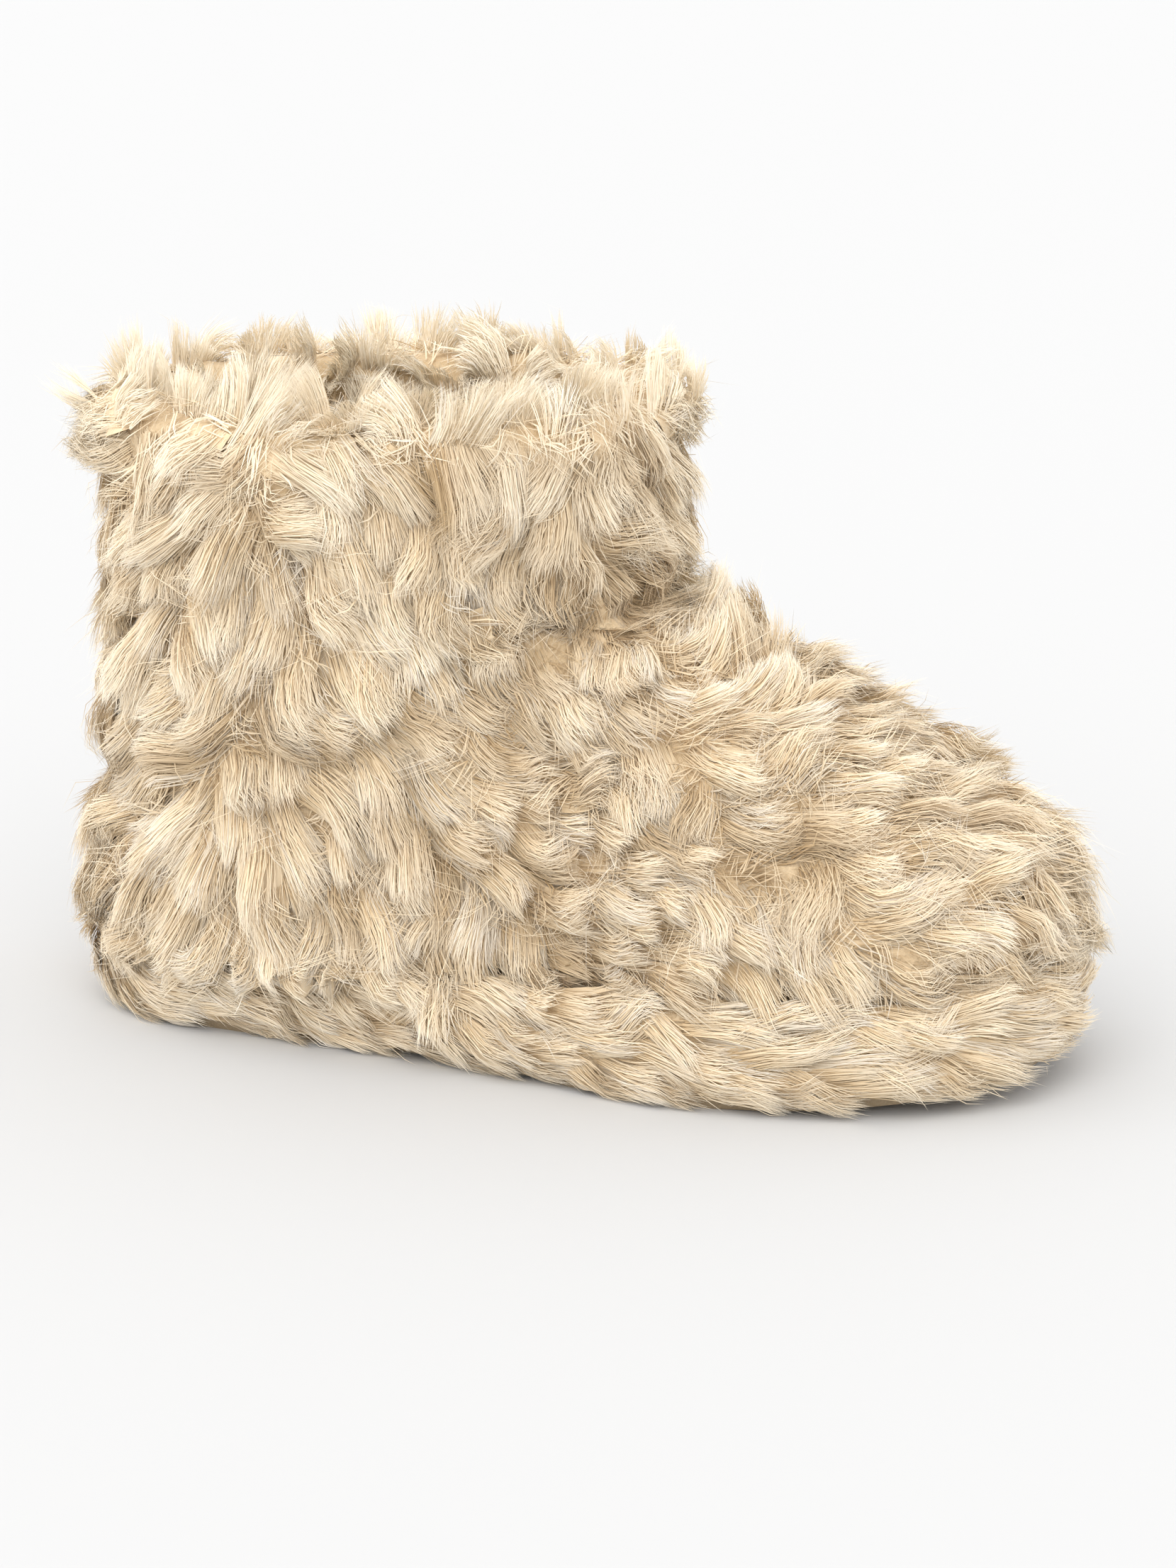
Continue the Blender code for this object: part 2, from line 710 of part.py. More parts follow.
def drop_pockets(mesh):
    """Removes the small closed pockets that crossing locks leave inside a solid."""
    bm = bmesh.new()
    bm.from_mesh(mesh)
    left = set(bm.verts)
    pieces = []
    while left:
        piece, edge = set(), [left.pop()]
        while edge:
            vert = edge.pop()
            piece.add(vert)
            near = {e.other_vert(vert) for e in vert.link_edges} & left
            left -= near
            edge += near
        pieces.append(piece)
    pieces.sort(key=len)
    small = [v for piece in pieces[:-1] for v in piece]
    bmesh.ops.delete(bm, geom=small, context="VERTS")
    bm.to_mesh(mesh)
    bm.free()


def spread(obj, first, last, spacing, rng):
    """Places spread evenly over the object's four-cornered faces from first to last."""
    mesh = obj.data
    faces = [[mesh.vertices[v].co for v in f.vertices] for f in mesh.polygons[first:last]]
    areas = np.array([f.area for f in mesh.polygons[first:last]])
    chosen = rng.choice(len(faces), LOCK_TRIES, p=areas / areas.sum())
    places = []
    for face, (across, along) in zip(chosen, rng.random((LOCK_TRIES, 2))):
        a, b, c, d = faces[face]
        place = a.lerp(b, across).lerp(d.lerp(c, across), along)
        if all((place - other).length > spacing for other in places):
            places.append(place)
    return places


def lay_locks(obj, lie, faces, kind, heights, rng):
    """Fuses locks of one kind all over some of the object's faces."""
    skin = Skin(obj, lie)
    for place in spread(obj, *faces, kind["spacing"], rng):
        for _ in range(LOCK_ATTEMPTS):
            lock = make_lock(skin, place, kind, heights, rng)
            fused = obj.data if crosses_itself(lock) else with_lock(obj, lock)
            lock.free()
            # A lock that only touches what is there is laid again, a little turned.
            if fused != obj.data and welded(fused):
                obj.data = fused
                break
    drop_pockets(obj.data)
    obj.data.shade_smooth()
    obj.data.set_sharp_from_angle(angle=math.radians(40))


def main():
    for obj in list(bpy.data.objects):
        bpy.data.objects.remove(obj)
    fur = material("cream_fur", (0.80, 0.69, 0.53), 0.85)
    band_fur = material("band_fur", (0.78, 0.67, 0.50), 0.85)
    rubber = material("sole_rubber", (0.42, 0.37, 0.30), 0.6)
    plush = material("footbed_plush", (0.76, 0.68, 0.56), 0.95)
    make_outsole(rubber)
    make_insole(plush)
    upper = torus("upper", upper_rings(), fur)
    band = torus("fur_band", band_rings(), band_fur)
    around = 2 * STATIONS - 2
    faces = (2 * around, (len(OUTER_LEVELS) + 4) * around)
    heights = (UPPER_SHELF + LOCK_MARGIN, 2 * COLLAR_HEIGHT)
    rng = np.random.default_rng(LOCK_SEED)
    lay_locks(upper, pile_lie, faces, UPPER_LOCKS, heights, rng)
    faces = (6 * around, (3 + len(BAND_SIDE)) * around)
    heights = (BAND_LIP + LOCK_MARGIN, BAND_TOP - LOCK_MARGIN)
    lay_locks(band, band_lie, faces, BAND_LOCKS, heights, rng)


main()
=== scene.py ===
"""The looks of a fur bootie slipper: deep pile in tufts, lining, footbed and sole.

Metres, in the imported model's frame: +X towards the toe, +Y towards the foot's
inner side, +Z up, the origin on the ground under the centre of the heel.

The pile is built in three steps. A soft skin is laid under the solids' surface.
Tufts are spread over the skin and walked along it the way the pile lies; those of
the shaft, the foot and the band get a low rounded body. Then fine strands grow from
the skin, and each follows its tuft and its wisp.
"""

import math

import bpy
import numpy as np
from mathutils import Matrix, Vector
from mathutils.bvhtree import BVHTree
from mathutils.kdtree import KDTree


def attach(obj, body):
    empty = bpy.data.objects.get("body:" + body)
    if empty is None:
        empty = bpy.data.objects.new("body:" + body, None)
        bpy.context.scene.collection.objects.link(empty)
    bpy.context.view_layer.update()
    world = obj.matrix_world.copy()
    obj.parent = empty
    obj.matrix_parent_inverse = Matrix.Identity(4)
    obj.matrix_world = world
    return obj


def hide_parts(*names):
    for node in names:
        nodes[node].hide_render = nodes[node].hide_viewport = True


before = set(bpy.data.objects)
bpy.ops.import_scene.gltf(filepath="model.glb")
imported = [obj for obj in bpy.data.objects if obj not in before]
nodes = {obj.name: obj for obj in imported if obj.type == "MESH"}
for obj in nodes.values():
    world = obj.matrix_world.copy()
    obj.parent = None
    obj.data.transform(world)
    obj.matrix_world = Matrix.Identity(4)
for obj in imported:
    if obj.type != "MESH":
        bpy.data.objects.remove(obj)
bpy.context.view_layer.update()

# The solids' sizes
FOOT_LENGTH = 0.248
BALL_WIDTH = 0.092
HEEL_CENTRE = 0.044
TOE_BASE_HEIGHT = 0.021
THROAT_HEIGHT = 0.108
THROAT_REACH = 0.088
COLLAR_HEIGHT = 0.16
SHAFT_LENGTH = 0.126
SHAFT_WIDTH = 0.09
ANKLE_WIDTH = 0.078
THROAT_FILLET = 0.008
TOE_SPRING = 0.006
SPRING_START = 0.72
LINING_WALL = 0.003
UNDERFUR = 0.0065
COLLAR_SWELL = 0.005
SWELL_START = 0.65
BAND_TOP = 0.029
BAND_THICKNESS = 0.009
BAND_LIP = 0.0016
GAP = 0.0003
STATIONS = 81  # points along one side of a ring
FINE = 401  # points along one side of the plan
FOOT_POWER = 2.4  # how square the foot's sides are
SHAFT_POWER = 2.3
BLEND_POWER = 4  # how sharply the foot's sides meet the shaft's
PAST_TOE = 1.3  # where the toe spring ends, as a share of its run

PLAN = (
    # along, centre, half
    (0.0, 0.0, 0.7),
    (0.06, 0.0, 0.64),
    (0.16, 0.0, 0.5),
    (0.3, -0.012, 0.395),
    (0.42, -0.025, 0.375),
    (0.55, -0.015, 0.435),
    (0.68, 0.005, 0.53),
    (0.8, 0.025, 0.59),
    (0.9, 0.04, 0.65),
    (1.0, 0.045, 0.72),
)
RIDGE = (
    # along, height
    (0.0, 1.0),
    (0.25, 0.91),
    (0.45, 0.765),
    (0.62, 0.632),
    (0.78, 0.515),
    (0.88, 0.43),
    (0.95, 0.32),
    (0.985, 0.18),
    (1.0, 0.0),
)
BACK = (
    # up, forward
    (0.0, 0.02),
    (0.18, 0.0),
    (0.28, 0.03),
    (0.4, 0.12),
    (0.54, 0.17),
    (0.7, 0.22),
    (0.85, 0.24),
    (1.0, 0.2),
)
COLLAR_ROLL = (
    # out, up
    (0.96, 0.7),
    (0.72, 1.2),
    (0.28, 1.38),
    (-0.12, 1.1),
    (-0.34, 0.35),
    (-0.2, -1.6),
)
COLLAR_LEAN = 0.006
BAND_SIDE = (
    # out, up
    (0.72, 0.0),
    (0.98, 0.1),
    (1.1, 0.35),
    (1.08, 0.65),
    (0.92, 0.9),
    (0.7, 1.0),
)
VIEW_TURN = 20
VIEW_RISE = 16.5
PILE_CHART = (
    # across, up, lie
    (-0.2, 1.09, 140),
    (-0.11, 1.09, 105),
    (0.01, 1.09, 80),
    (0.11, 1.05, 50),
    (0.21, 1.09, 85),
    (0.29, 1.09, 70),
    (0.39, 1.06, 40),
    (0.42, 0.94, 10),
    (-0.22, 0.97, 195),
    (-0.16, 0.91, 180),
    (-0.15, 0.84, 215),
    (-0.11, 0.84, 262),
    (-0.05, 0.99, 325),
    (0.05, 0.89, 329),
    (0.15, 1.0, 10),
    (0.15, 0.89, 327),
    (-0.07, 0.86, 199),
    (-0.09, 0.8, 195),
    (-0.06, 0.71, 237),
    (-0.04, 0.67, 268),
    (0.03, 0.77, 320),
    (-0.15, 0.65, 215),
    (0.21, 0.94, 330),
    (0.25, 0.9, 300),
    (0.28, 0.86, 280),
    (0.33, 0.96, 290),
    (0.36, 0.96, 320),
    (0.19, 0.97, 350),
    (0.25, 0.76, 240),
    (0.11, 0.72, 270),
    (0.38, 0.77, 322),
    (0.37, 0.71, 345),
    (-0.13, 0.57, 230),
    (0.02, 0.52, 262),
    (-0.13, 0.37, 203),
    (-0.11, 0.22, 225),
    (-0.02, 0.15, 270),
    (0.02, 0.23, 305),
    (0.06, 0.35, 350),
    (0.1, 0.26, 280),
    (-0.24, 0.18, 215),
    (-0.22, 0.02, 200),
    (0.18, 0.53, 308),
    (0.28, 0.35, 0),
    (0.15, 0.2, 268),
    (0.24, 0.26, 312),
    (0.31, 0.24, 17),
    (0.38, 0.23, 337),
    (0.42, 0.31, 270),
    (0.22, 0.09, 275),
    (0.35, 0.15, 0),
    (0.33, 0.53, 265),
    (0.48, 0.55, 85),
    (0.54, 0.53, 88),
    (0.58, 0.52, 40),
    (0.6, 0.45, 10),
    (0.64, 0.41, 340),
    (0.47, 0.36, 330),
    (0.52, 0.35, 20),
    (0.55, 0.14, 272),
    (0.57, 0.04, 297),
    (0.64, 0.1, 345),
    (0.38, 0.13, 30),
    (0.43, 0.16, 0),
    (0.48, 0.11, 320),
    (0.67, 0.2, 36),
    (0.71, 0.24, 0),
    (0.75, 0.18, 315),
    (0.69, 0.43, 30),
    (0.84, 0.33, 15),
    (0.86, 0.18, 350),
    (0.86, -0.01, 325),
)
INNER_SHIFT = 0.09
CHART_POWER = 3.5
MEETING = 0.8

TOE_X = FOOT_LENGTH - HEEL_CENTRE
HEEL_X = -HEEL_CENTRE
UPPER_SHELF = BAND_TOP + GAP
FULL_WALL = LINING_WALL + UNDERFUR
SHAFT_MIDDLE = HEEL_X + BACK[-1][1] * HEEL_CENTRE + SHAFT_LENGTH / 2

# The camera and the studio
CAMERA_TURN = 22.47  # degrees
CAMERA_RISE = 15.78
CAMERA_DISTANCE = 1.5
CAMERA_LENS = 127.9
AIM_ACROSS = 0.0772
AIM_UP = 0.055
FLOOR_REACH = 12
FLOOR = 0.596  # the floor's brightness
SKY = 1.18
LAMPS = (
    # name, turn, rise, strength, width
    ("key", 12, 46, 1.45, 50),
    ("side", -60, 35, 0.45, 70),
)

# The skins
SKIN_DEPTH = 0.003  # how far the skin lies under the solids' surface
LIP_DEPTH = 0.001  # and at the collar's inner edge
LINING_DEPTH = 0.0004
LOOK_OUT = 0.012  # how far outside the solids' surface is looked for
SOFTENING = 2  # rounds of softening
UPPER_RINGS = 62
COLLAR_RINGS = 22
LINING_RINGS = 40
BAND_RINGS = 20
LINING_LOW = 0.04  # where the lining's rings start to turn into the plan's
LINING_FOOT = (0.02, 0.011)  # heights of its last rings
ROLL_RINGS = 7  # rings of the collar that lying tufts grow on
LINING_FUR = 8  # rings of the lining that standing tufts grow on

# The pile
SEED = 5
SIDES_MEET = BALL_WIDTH / 3  # over this width the outer side's chart turns into the inner side's
CHART_NEAR = 0.003
FLOOR_GAP = 0.0004  # no hair lies lower
HAIR_TOP = 0.182  # above this height the hair bends back, to half as high
BAND_FALL = 0.14  # how steeply the band's hair lies downwards
TUFT_STEPS = 14
TUFT_BEFORE = 0.01  # the guide's run before its root
TUFT_AFTER = 0.006  # and past its end
BACK_STEPS = 3  # of a guide, before its root
SLOPE_STEP = 0.0006  # over which a tuft's slope is measured
LENGTH_RANGE = (0.75, 1.25)  # of a tuft, as shares
HEIGHT_RANGE = (0.7, 1.3)
HALF_RANGE = (0.6, 0.8)  # half its width, of its spacing
WIDTH_RANGE = (0.7, 1.3)  # of a strand
GROUPS_ACROSS = 32
BODY_SHARE = 0.5  # a tuft's solid part, of its height
BODY_ROWS = 10
BODY_COLUMNS = 7
BODY_START = -0.25  # shares of a tuft's length
BODY_RISE = (-0.45, 0.65)
BODY_TAPER = (0.5, 1.1)
TAPER = 0.25  # of its width
BODY_END = (0.6, 1.04)  # shares of a body's length
NOSE = (0.65, 1.0)
NOSE_DROP = -0.5  # of a tuft's height
UNDER_LEVEL = -0.3  # levels in a tuft, of its height
TOP_LEVEL = 1.05
OWN_LENGTH = 0.07  # how a strand's length varies
CURL_SIZE = 0.002  # how much wider strands wave in the curly spots
LOOSE_STRAY = 4.0  # how many times as far a loose strand strays
LOOSE_RISE = 0.0008
TIP_WIDTH = 0.15  # of a strand's width
ROLL_HEIGHTS = (0.152, 0.168)
# How the collar's hair stands, as shares of the pile's lie, the skin's normal and straight up
STAND_OUTER = (0.3, -0.2, 0.6)
STAND_OVER = (-0.2, 0, 0.3)  # added on the roll
STAND_INNER = (0.25, 0.95)  # the last two shares, inside
STAND_FAR = (0.55, -0.45)  # added on the far side
FAR_SIDE = (-0.015, 0.015)
SWIRL_GAIN = 1.4
SWIRLS = (
    # radians a metre along x, y and z, and at the origin
    (190, 60, 120, 0.4),
    (-110, 90, 210, 1.9),
    (60, -150, -260, 3.1),
    (240, 120, -60, 5.2),
)

# Creases between the tufts, on the same view as the chart: half width in metres, depth, places. They lower
# the pile there, and painted shade darkens its tone.
CREASES = (
    (0.0042, 1.0, ((0.426, 0.682), (0.372, 0.628), (0.278, 0.535), (0.249, 0.458), (0.247, 0.369))),
    (0.0032, 0.9, ((-0.22, 0.35), (-0.15, 0.37), (-0.08, 0.38), (0.01, 0.375), (0.09, 0.38))),
    (0.0028, 0.8, ((0.09, 0.38), (0.168, 0.425), (0.23, 0.48), (0.272, 0.525))),
    (0.0022, 0.6, ((0.174, 0.785), (0.214, 0.809), (0.261, 0.821), (0.314, 0.814))),
    (0.003, 0.9, ((0.341, 0.839), (0.378, 0.814), (0.415, 0.781))),
    (0.0022, 0.6, ((-0.078, 0.623), (-0.039, 0.613), (-0.001, 0.628))),
    (0.0024, 0.8, ((-0.056, 0.828), (-0.053, 0.779))),
    (0.0022, 0.6, ((-0.143, 0.779), (-0.123, 0.771))),
    (0.0024, 0.7, ((-0.186, 0.678), (-0.167, 0.659))),
    (0.0024, 0.6, ((-0.032, 0.718), (-0.007, 0.704))),
    (0.0032, 1.0, ((0.168, 0.798), (0.18, 0.756))),
    (0.0026, 0.8, ((0.303, 0.375), (0.314, 0.337))),
    (0.0024, 0.7, ((-0.105, 0.332), (-0.07, 0.313))),
    (0.0022, 0.6, ((-0.013, 0.306), (0.014, 0.291))),
    (0.0024, 0.6, ((-0.201, 0.117), (-0.184, 0.093))),
    (0.0026, 0.8, ((0.045, 0.139), (0.095, 0.103))),
    (0.0026, 0.8, ((0.157, 0.273), (0.187, 0.209))),
    (0.0024, 0.6, ((0.176, 0.154), (0.176, 0.112))),
    (0.0024, 0.8, ((0.272, 0.196), (0.295, 0.172))),
    (0.0026, 0.9, ((0.415, 0.284), (0.416, 0.205))),
    (0.0032, 1.0, ((0.459, 0.291), (0.476, 0.255))),
    (0.003, 0.9, ((0.261, 0.086), (0.295, 0.071), (0.332, 0.042))),
    (0.0022, 0.5, ((0.58, 0.572), (0.576, 0.482), (0.588, 0.399))),
    (0.0022, 0.5, ((0.64, 0.33), (0.7, 0.3), (0.75, 0.31))),
)
# Painted shade: how much darker the tone is made in a deep crease
CREASE_PAINTED_SHADE = 0.62
CREASE_WIDTH = 1.3  # times the half widths above
CREASE_LOW = 0.92  # share of the pile's height that a deep crease takes away

# Paler and darker parts of the coat: across, up, reach in metres, change of tone
PATCHES = (
    (0.545, 0.232, 0.014, -0.62),
    (0.372, 0.399, 0.009, -0.36),
    (0.176, 0.756, 0.016, -0.28),
    (0.3, 0.7, 0.016, -0.26),
    (0.138, 0.232, 0.022, -0.22),
    (0.3, 0.15, 0.018, -0.16),
    (0.1, 0.45, 0.016, 0.1),
    (-0.15, 0.45, 0.018, 0.1),
    (0.48, 0.55, 0.012, 0.1),
    (0.638, 0.375, 0.014, 0.08),
    (0.815, 0.172, 0.014, 0.06),
)
CURLS = (
    # across, up, reach
    (0.545, 0.232, 0.01),
    (0.372, 0.399, 0.007),
    (0.46, 0.33, 0.005),
)
RISES = (
    # across, up, reach, and how much higher the coat stands there
    (0.52, 0.57, 0.008, 0.0022),
    (0.85, 0.32, 0.01, 0.0022),
    (-0.21, 0.08, 0.014, 0.003),
    (-0.26, 0.98, 0.022, -0.0056),
    (0.41, 0.8, 0.014, -0.003),
)

# Tones: the UV map's left half holds the warm ones, its right half the greyer ones
TONE_START = 0.01
TONE_SHARE = 0.48
TONE_WIDTH = 0.0015  # across a strand
OWN_TONE = 0.02
BODY_TONE_START = 0.03
BODY_TONE_SHARE = 0.44
BODY_TONE_WIDTH = 0.018
# A body's colour nears the roots' darker colours at its start and its edges: painted shade under the tuft
# before and between tufts
BODY_HEIGHTS = (0.28, 0.4)  # of the map, at a body's start and what its run adds
BODY_EDGE_PAINTED_SHADE = 0.4  # how much nearer the root's colour its edges are
HAIRS_ACROSS = 1100.0  # over the map's width
HAIRS_ALONG = 3
STREAKS = 0.12
PILE_SURFACE = {"Roughness": 0.62, "Specular IOR Level": 0.2, "Sheen Weight": 0.25, "Sheen Roughness": 0.5}
GRAIN_STOPS = (0.38, 0.62)
GRAIN_ROUGH = 0.2
BUMP_STRENGTH = 0.8
# Dark, pale, patch, grain, height, roughness, sheen
UNDERFUR_LOOK = ((198, 172, 134), (222, 198, 162), 0.012, 0.0012, 0.001, 0.9, 0.2)
PLUSH_LOOK = ((226, 208, 176), (244, 231, 208), 0.01, 0.0012, 0.0012, 0.9, 0.3)
FOOTBED_LOOK = ((218, 198, 164), (238, 222, 194), 0.01, 0.0012, 0.0012, 0.9, 0.3)
RUBBER_LOOK = ((150, 132, 106), (166, 147, 120), 0.02, 0.0006, 0.0002, 0.7, 0.0)
# Colours from root to tip, for the darkest strands and the palest; the darker roots are painted shade deep
# in the pile
RUN = (0.0, 0.25, 0.65, 1.0)
WARM = (
    ((130, 100, 64), (156, 126, 86), (183, 153, 110), (206, 179, 137)),
    ((210, 182, 141), (236, 214, 178), (247, 231, 203), (252, 243, 225)),
)
COOL = (
    ((122, 101, 74), (147, 126, 98), (172, 152, 122), (194, 176, 147)),
    ((188, 168, 139), (224, 209, 185), (239, 228, 210), (249, 243, 232)),
)


def unit(vectors):
    """The vectors with length 1."""
    return vectors / (np.linalg.norm(vectors, axis=-1, keepdims=True) + 1e-12)


def ramped(values, low, high):
    """0 below low, 1 above high, and a straight rise between them."""
    return np.clip((values - low) / (high - low), 0, 1)


def smooth(table, column, at):
    """The table's column as a smooth curve over its first column."""
    rows = np.array(table, float)
    x, y = rows[:, 0], rows[:, column]
    slope = np.gradient(y, x)
    at = np.clip(np.asarray(at, float), x[0], x[-1])
    i = np.clip(np.searchsorted(x, at, side="right") - 1, 0, len(x) - 2)
    h = x[i + 1] - x[i]
    t = (at - x[i]) / h
    rise = (1 + 2 * t) * (1 - t) ** 2 * y[i] + t * (1 - t) ** 2 * h * slope[i]
    return rise + t * t * (3 - 2 * t) * y[i + 1] + t * t * (t - 1) * h * slope[i + 1]


def rounded(share, power):
    """The quarter curve that falls from 1 to 0 as share goes from 0 to 1."""
    return (1 - np.clip(np.abs(share), 0, 1) ** power) ** (1 / power)


def spring(x):
    """The toe spring's rise at x, which every piece follows."""
    start = HEEL_X + SPRING_START * FOOT_LENGTH
    share = np.clip((np.asarray(x, float) - start) / (TOE_X - start), 0, PAST_TOE)
    return TOE_SPRING * share**2


def plan_side(side, grow):
    """One side of the foot's plan, grown outwards: x and y of points from heel to toe."""
    turn = np.linspace(0, math.pi, FINE)
    along = (1 - np.cos(turn)) / 2
    half = smooth(PLAN, 2, along) * np.sin(turn)
    x = HEEL_X + along * FOOT_LENGTH
    y = (smooth(PLAN, 1, along) + side * half) * BALL_WIDTH
    dx, dy = np.gradient(x), np.gradient(y)
    length = np.hypot(dx, dy)
    nx, ny = -side * dy / length, side * dx / length
    nx[0], ny[0], nx[-1], ny[-1] = -1, 0, 1, 0
    return x + nx * grow, y + ny * grow


def grown_ridge(grow):
    """The vamp's ridge grown outwards: heights at fine steps of x."""
    share = np.linspace(0, 1, FINE)
    x = THROAT_REACH + share * (TOE_X - THROAT_REACH)
    z = TOE_BASE_HEIGHT + smooth(RIDGE, 1, share) * (THROAT_HEIGHT - TOE_BASE_HEIGHT)
    behind = np.linspace(HEEL_X, THROAT_REACH, FINE)[:-1]
    rise = (z[0] - z[1]) / (x[1] - x[0])
    z = np.concatenate([z[0] + (THROAT_REACH - behind) * rise, z])
    x = np.concatenate([behind, x])
    at = np.linspace(HEEL_X - grow, TOE_X + grow, 2 * FINE)
    reach = grow**2 - (at[:, None] - x[None, :]) ** 2
    lifted = np.where(reach >= 0, z + np.sqrt(np.maximum(reach, 0)), -1)
    return at, np.maximum.accumulate(lifted.max(1)[::-1])[::-1]


class Form:
    """The shoe's outer form at one distance from the lining, cut at any height."""

    def __init__(self, grow):
        self.grow = grow
        self.outer = plan_side(-1, grow)
        self.inner = plan_side(1, grow)
        self.ridge = grown_ridge(max(grow, 1e-6))
        self.toe = TOE_X + grow

    def back(self, z):
        return HEEL_X + smooth(BACK, 1, z / COLLAR_HEIGHT) * HEEL_CENTRE - self.grow

    def vamp_front(self, z):
        x, height = self.ridge
        return float(np.interp(-z, -height, x)) if z > TOE_BASE_HEIGHT else self.toe

    def shaft_front(self):
        return self.back(COLLAR_HEIGHT) + SHAFT_LENGTH + 2 * self.grow

    def front(self, z):
        """The ring's front end, and how far the fillet carries it past both forms."""
        vamp, shaft = self.vamp_front(z), self.shaft_front()
        most = max(vamp, shaft)
        apart = abs(vamp - shaft) / THROAT_FILLET
        extra = THROAT_FILLET * math.log(1 + math.exp(-apart))
        return most + extra, extra

    def foot_half(self, x, z, side):
        """How far the foot's part reaches sideways from the centre line at x."""
        px, py = self.outer if side < 0 else self.inner
        centre = smooth(PLAN, 1, (x - HEEL_X) / FOOT_LENGTH) * BALL_WIDTH
        half = np.abs(np.interp(x, px, py) - centre)
        height = np.interp(x, *self.ridge)
        share = (z - TOE_BASE_HEIGHT) / np.maximum(height - TOE_BASE_HEIGHT, 1e-6)
        return half * rounded(np.clip(share, 0, 1), FOOT_POWER)

    def shaft_half(self, x, z):
        """How far the shaft reaches sideways at x."""
        up = np.clip((z - BAND_TOP) / (COLLAR_HEIGHT - BAND_TOP), 0, 1)
        width = ANKLE_WIDTH + (SHAFT_WIDTH - ANKLE_WIDTH) * up
        radius = (self.shaft_front() - self.back(z)) / 2
        middle = self.back(z) + radius
        return (width / 2 + self.grow) * rounded((x - middle) / radius, SHAFT_POWER)

    def ring(self, z):
        """A closed ring of points at height z: heel, outer side, toe, inner side."""
        start = self.back(z)
        end, extra = self.front(z)
        turn = np.linspace(0, math.pi, STATIONS)
        x = start + (end - start) * (1 - np.cos(turn)) / 2
        known = x - extra * ((x - start) / (end - start)) ** 2
        plan_start = HEEL_X - self.grow
        leaned = plan_start + (known - start) * (self.toe - plan_start) / (self.toe - start)
        centre = smooth(PLAN, 1, (leaned - HEEL_X) / FOOT_LENGTH) * BALL_WIDTH
        centre = centre * np.clip((leaned - HEEL_X) / FOOT_LENGTH, 0, 1)
        sides = []
        for side in (-1, 1):
            foot = self.foot_half(leaned, z, side)
            shaft = self.shaft_half(known, z)
            half = (foot**BLEND_POWER + shaft**BLEND_POWER) ** (1 / BLEND_POWER)
            half[0] = half[-1] = 0
            sides.append(centre + side * half)
        outer, inner = sides
        inner[0] = outer[0]
        inner[-1] = outer[-1]
        x = np.concatenate([x, x[-2:0:-1]])
        y = np.concatenate([outer, inner[-2:0:-1]])
        raised = np.clip((z - THROAT_HEIGHT) / (COLLAR_HEIGHT - THROAT_HEIGHT), 0, 1)
        lean = COLLAR_LEAN * raised * ((x - start) / (end - start) - 0.5)
        return np.stack([x, y, z + spring(x) + lean], axis=1)


def plan_ring(grow, height):
    """A closed ring on the foot's plan, grown outwards, with the toe spring."""
    chosen = np.linspace(0, FINE - 1, STATIONS).round().astype(int)
    outer = np.stack(plan_side(-1, grow), axis=1)[chosen]
    inner = np.stack(plan_side(1, grow), axis=1)[chosen]
    flat = np.concatenate([outer, inner[-2:0:-1]])
    return np.column_stack([flat, height + spring(flat[:, 0])])


def axes_at(turn, rise):
    """Right, up and back of a view that is turned about Z and raised, in degrees."""
    a, e = math.radians(turn), math.radians(rise)
    right = (math.cos(a), math.sin(a), 0)
    up = (-math.sin(a) * math.sin(e), math.cos(a) * math.sin(e), math.cos(e))
    back = (math.sin(a) * math.cos(e), -math.cos(a) * math.cos(e), math.sin(e))
    return np.array((right, up, back))


def mirrored(points):
    """Places on the inner side as the outer side's chart has them, and back a little."""
    return points * (1, -1, 1) + (INNER_SHIFT * FOOT_LENGTH, 0, 0)


def in_view(points, own_side=False):
    """Places across and up the chart's view, in metres; own_side turns the inner side outwards."""
    right, up, _ = axes_at(VIEW_TURN, VIEW_RISE)
    if own_side:
        points = np.where(points[:, 1:2] > 0, mirrored(points), points)
    return points @ right, points @ up


def crease(points):
    """How deep in a crease points lie, from 0 to 1."""
    across, above = in_view(points, own_side=True)
    deepest = np.zeros(len(points))
    for width, depth, line in CREASES:
        for (u, v), (end_u, end_v) in zip(line, line[1:]):
            x, y = u * FOOT_LENGTH, v * COLLAR_HEIGHT
            dx, dy = end_u * FOOT_LENGTH - x, end_v * COLLAR_HEIGHT - y
            t = np.clip(((across - x) * dx + (above - y) * dy) / (dx * dx + dy * dy), 0, 1)
            away = np.hypot(across - x - t * dx, above - y - t * dy)
            deepest = np.maximum(deepest, depth * np.exp(-((away / width / CREASE_WIDTH) ** 2)))
    return deepest


def near_spots(points, rows):
    """For each row that starts with across, up and reach: how near points are, from 0 to 1."""
    across, above = in_view(points, own_side=True)
    rows = np.array(rows, float)
    dx = across[:, None] - rows[:, 0] * FOOT_LENGTH
    dy = above[:, None] - rows[:, 1] * COLLAR_HEIGHT
    return np.exp(-(dx**2 + dy**2) / rows[:, 2] ** 2)


def added(points, rows):
    """What rows of across, up, reach and amount add at points."""
    return near_spots(points, rows) @ np.array(rows)[:, 3]


def shade(points):
    """The coat's change of tone by place: darker and paler patches, and painted shade in the creases."""
    return added(points, PATCHES) - CREASE_PAINTED_SHADE * crease(points)


def curly(points):
    """How curly the pile is, from 0 to 1."""
    return near_spots(points, CURLS).max(1)


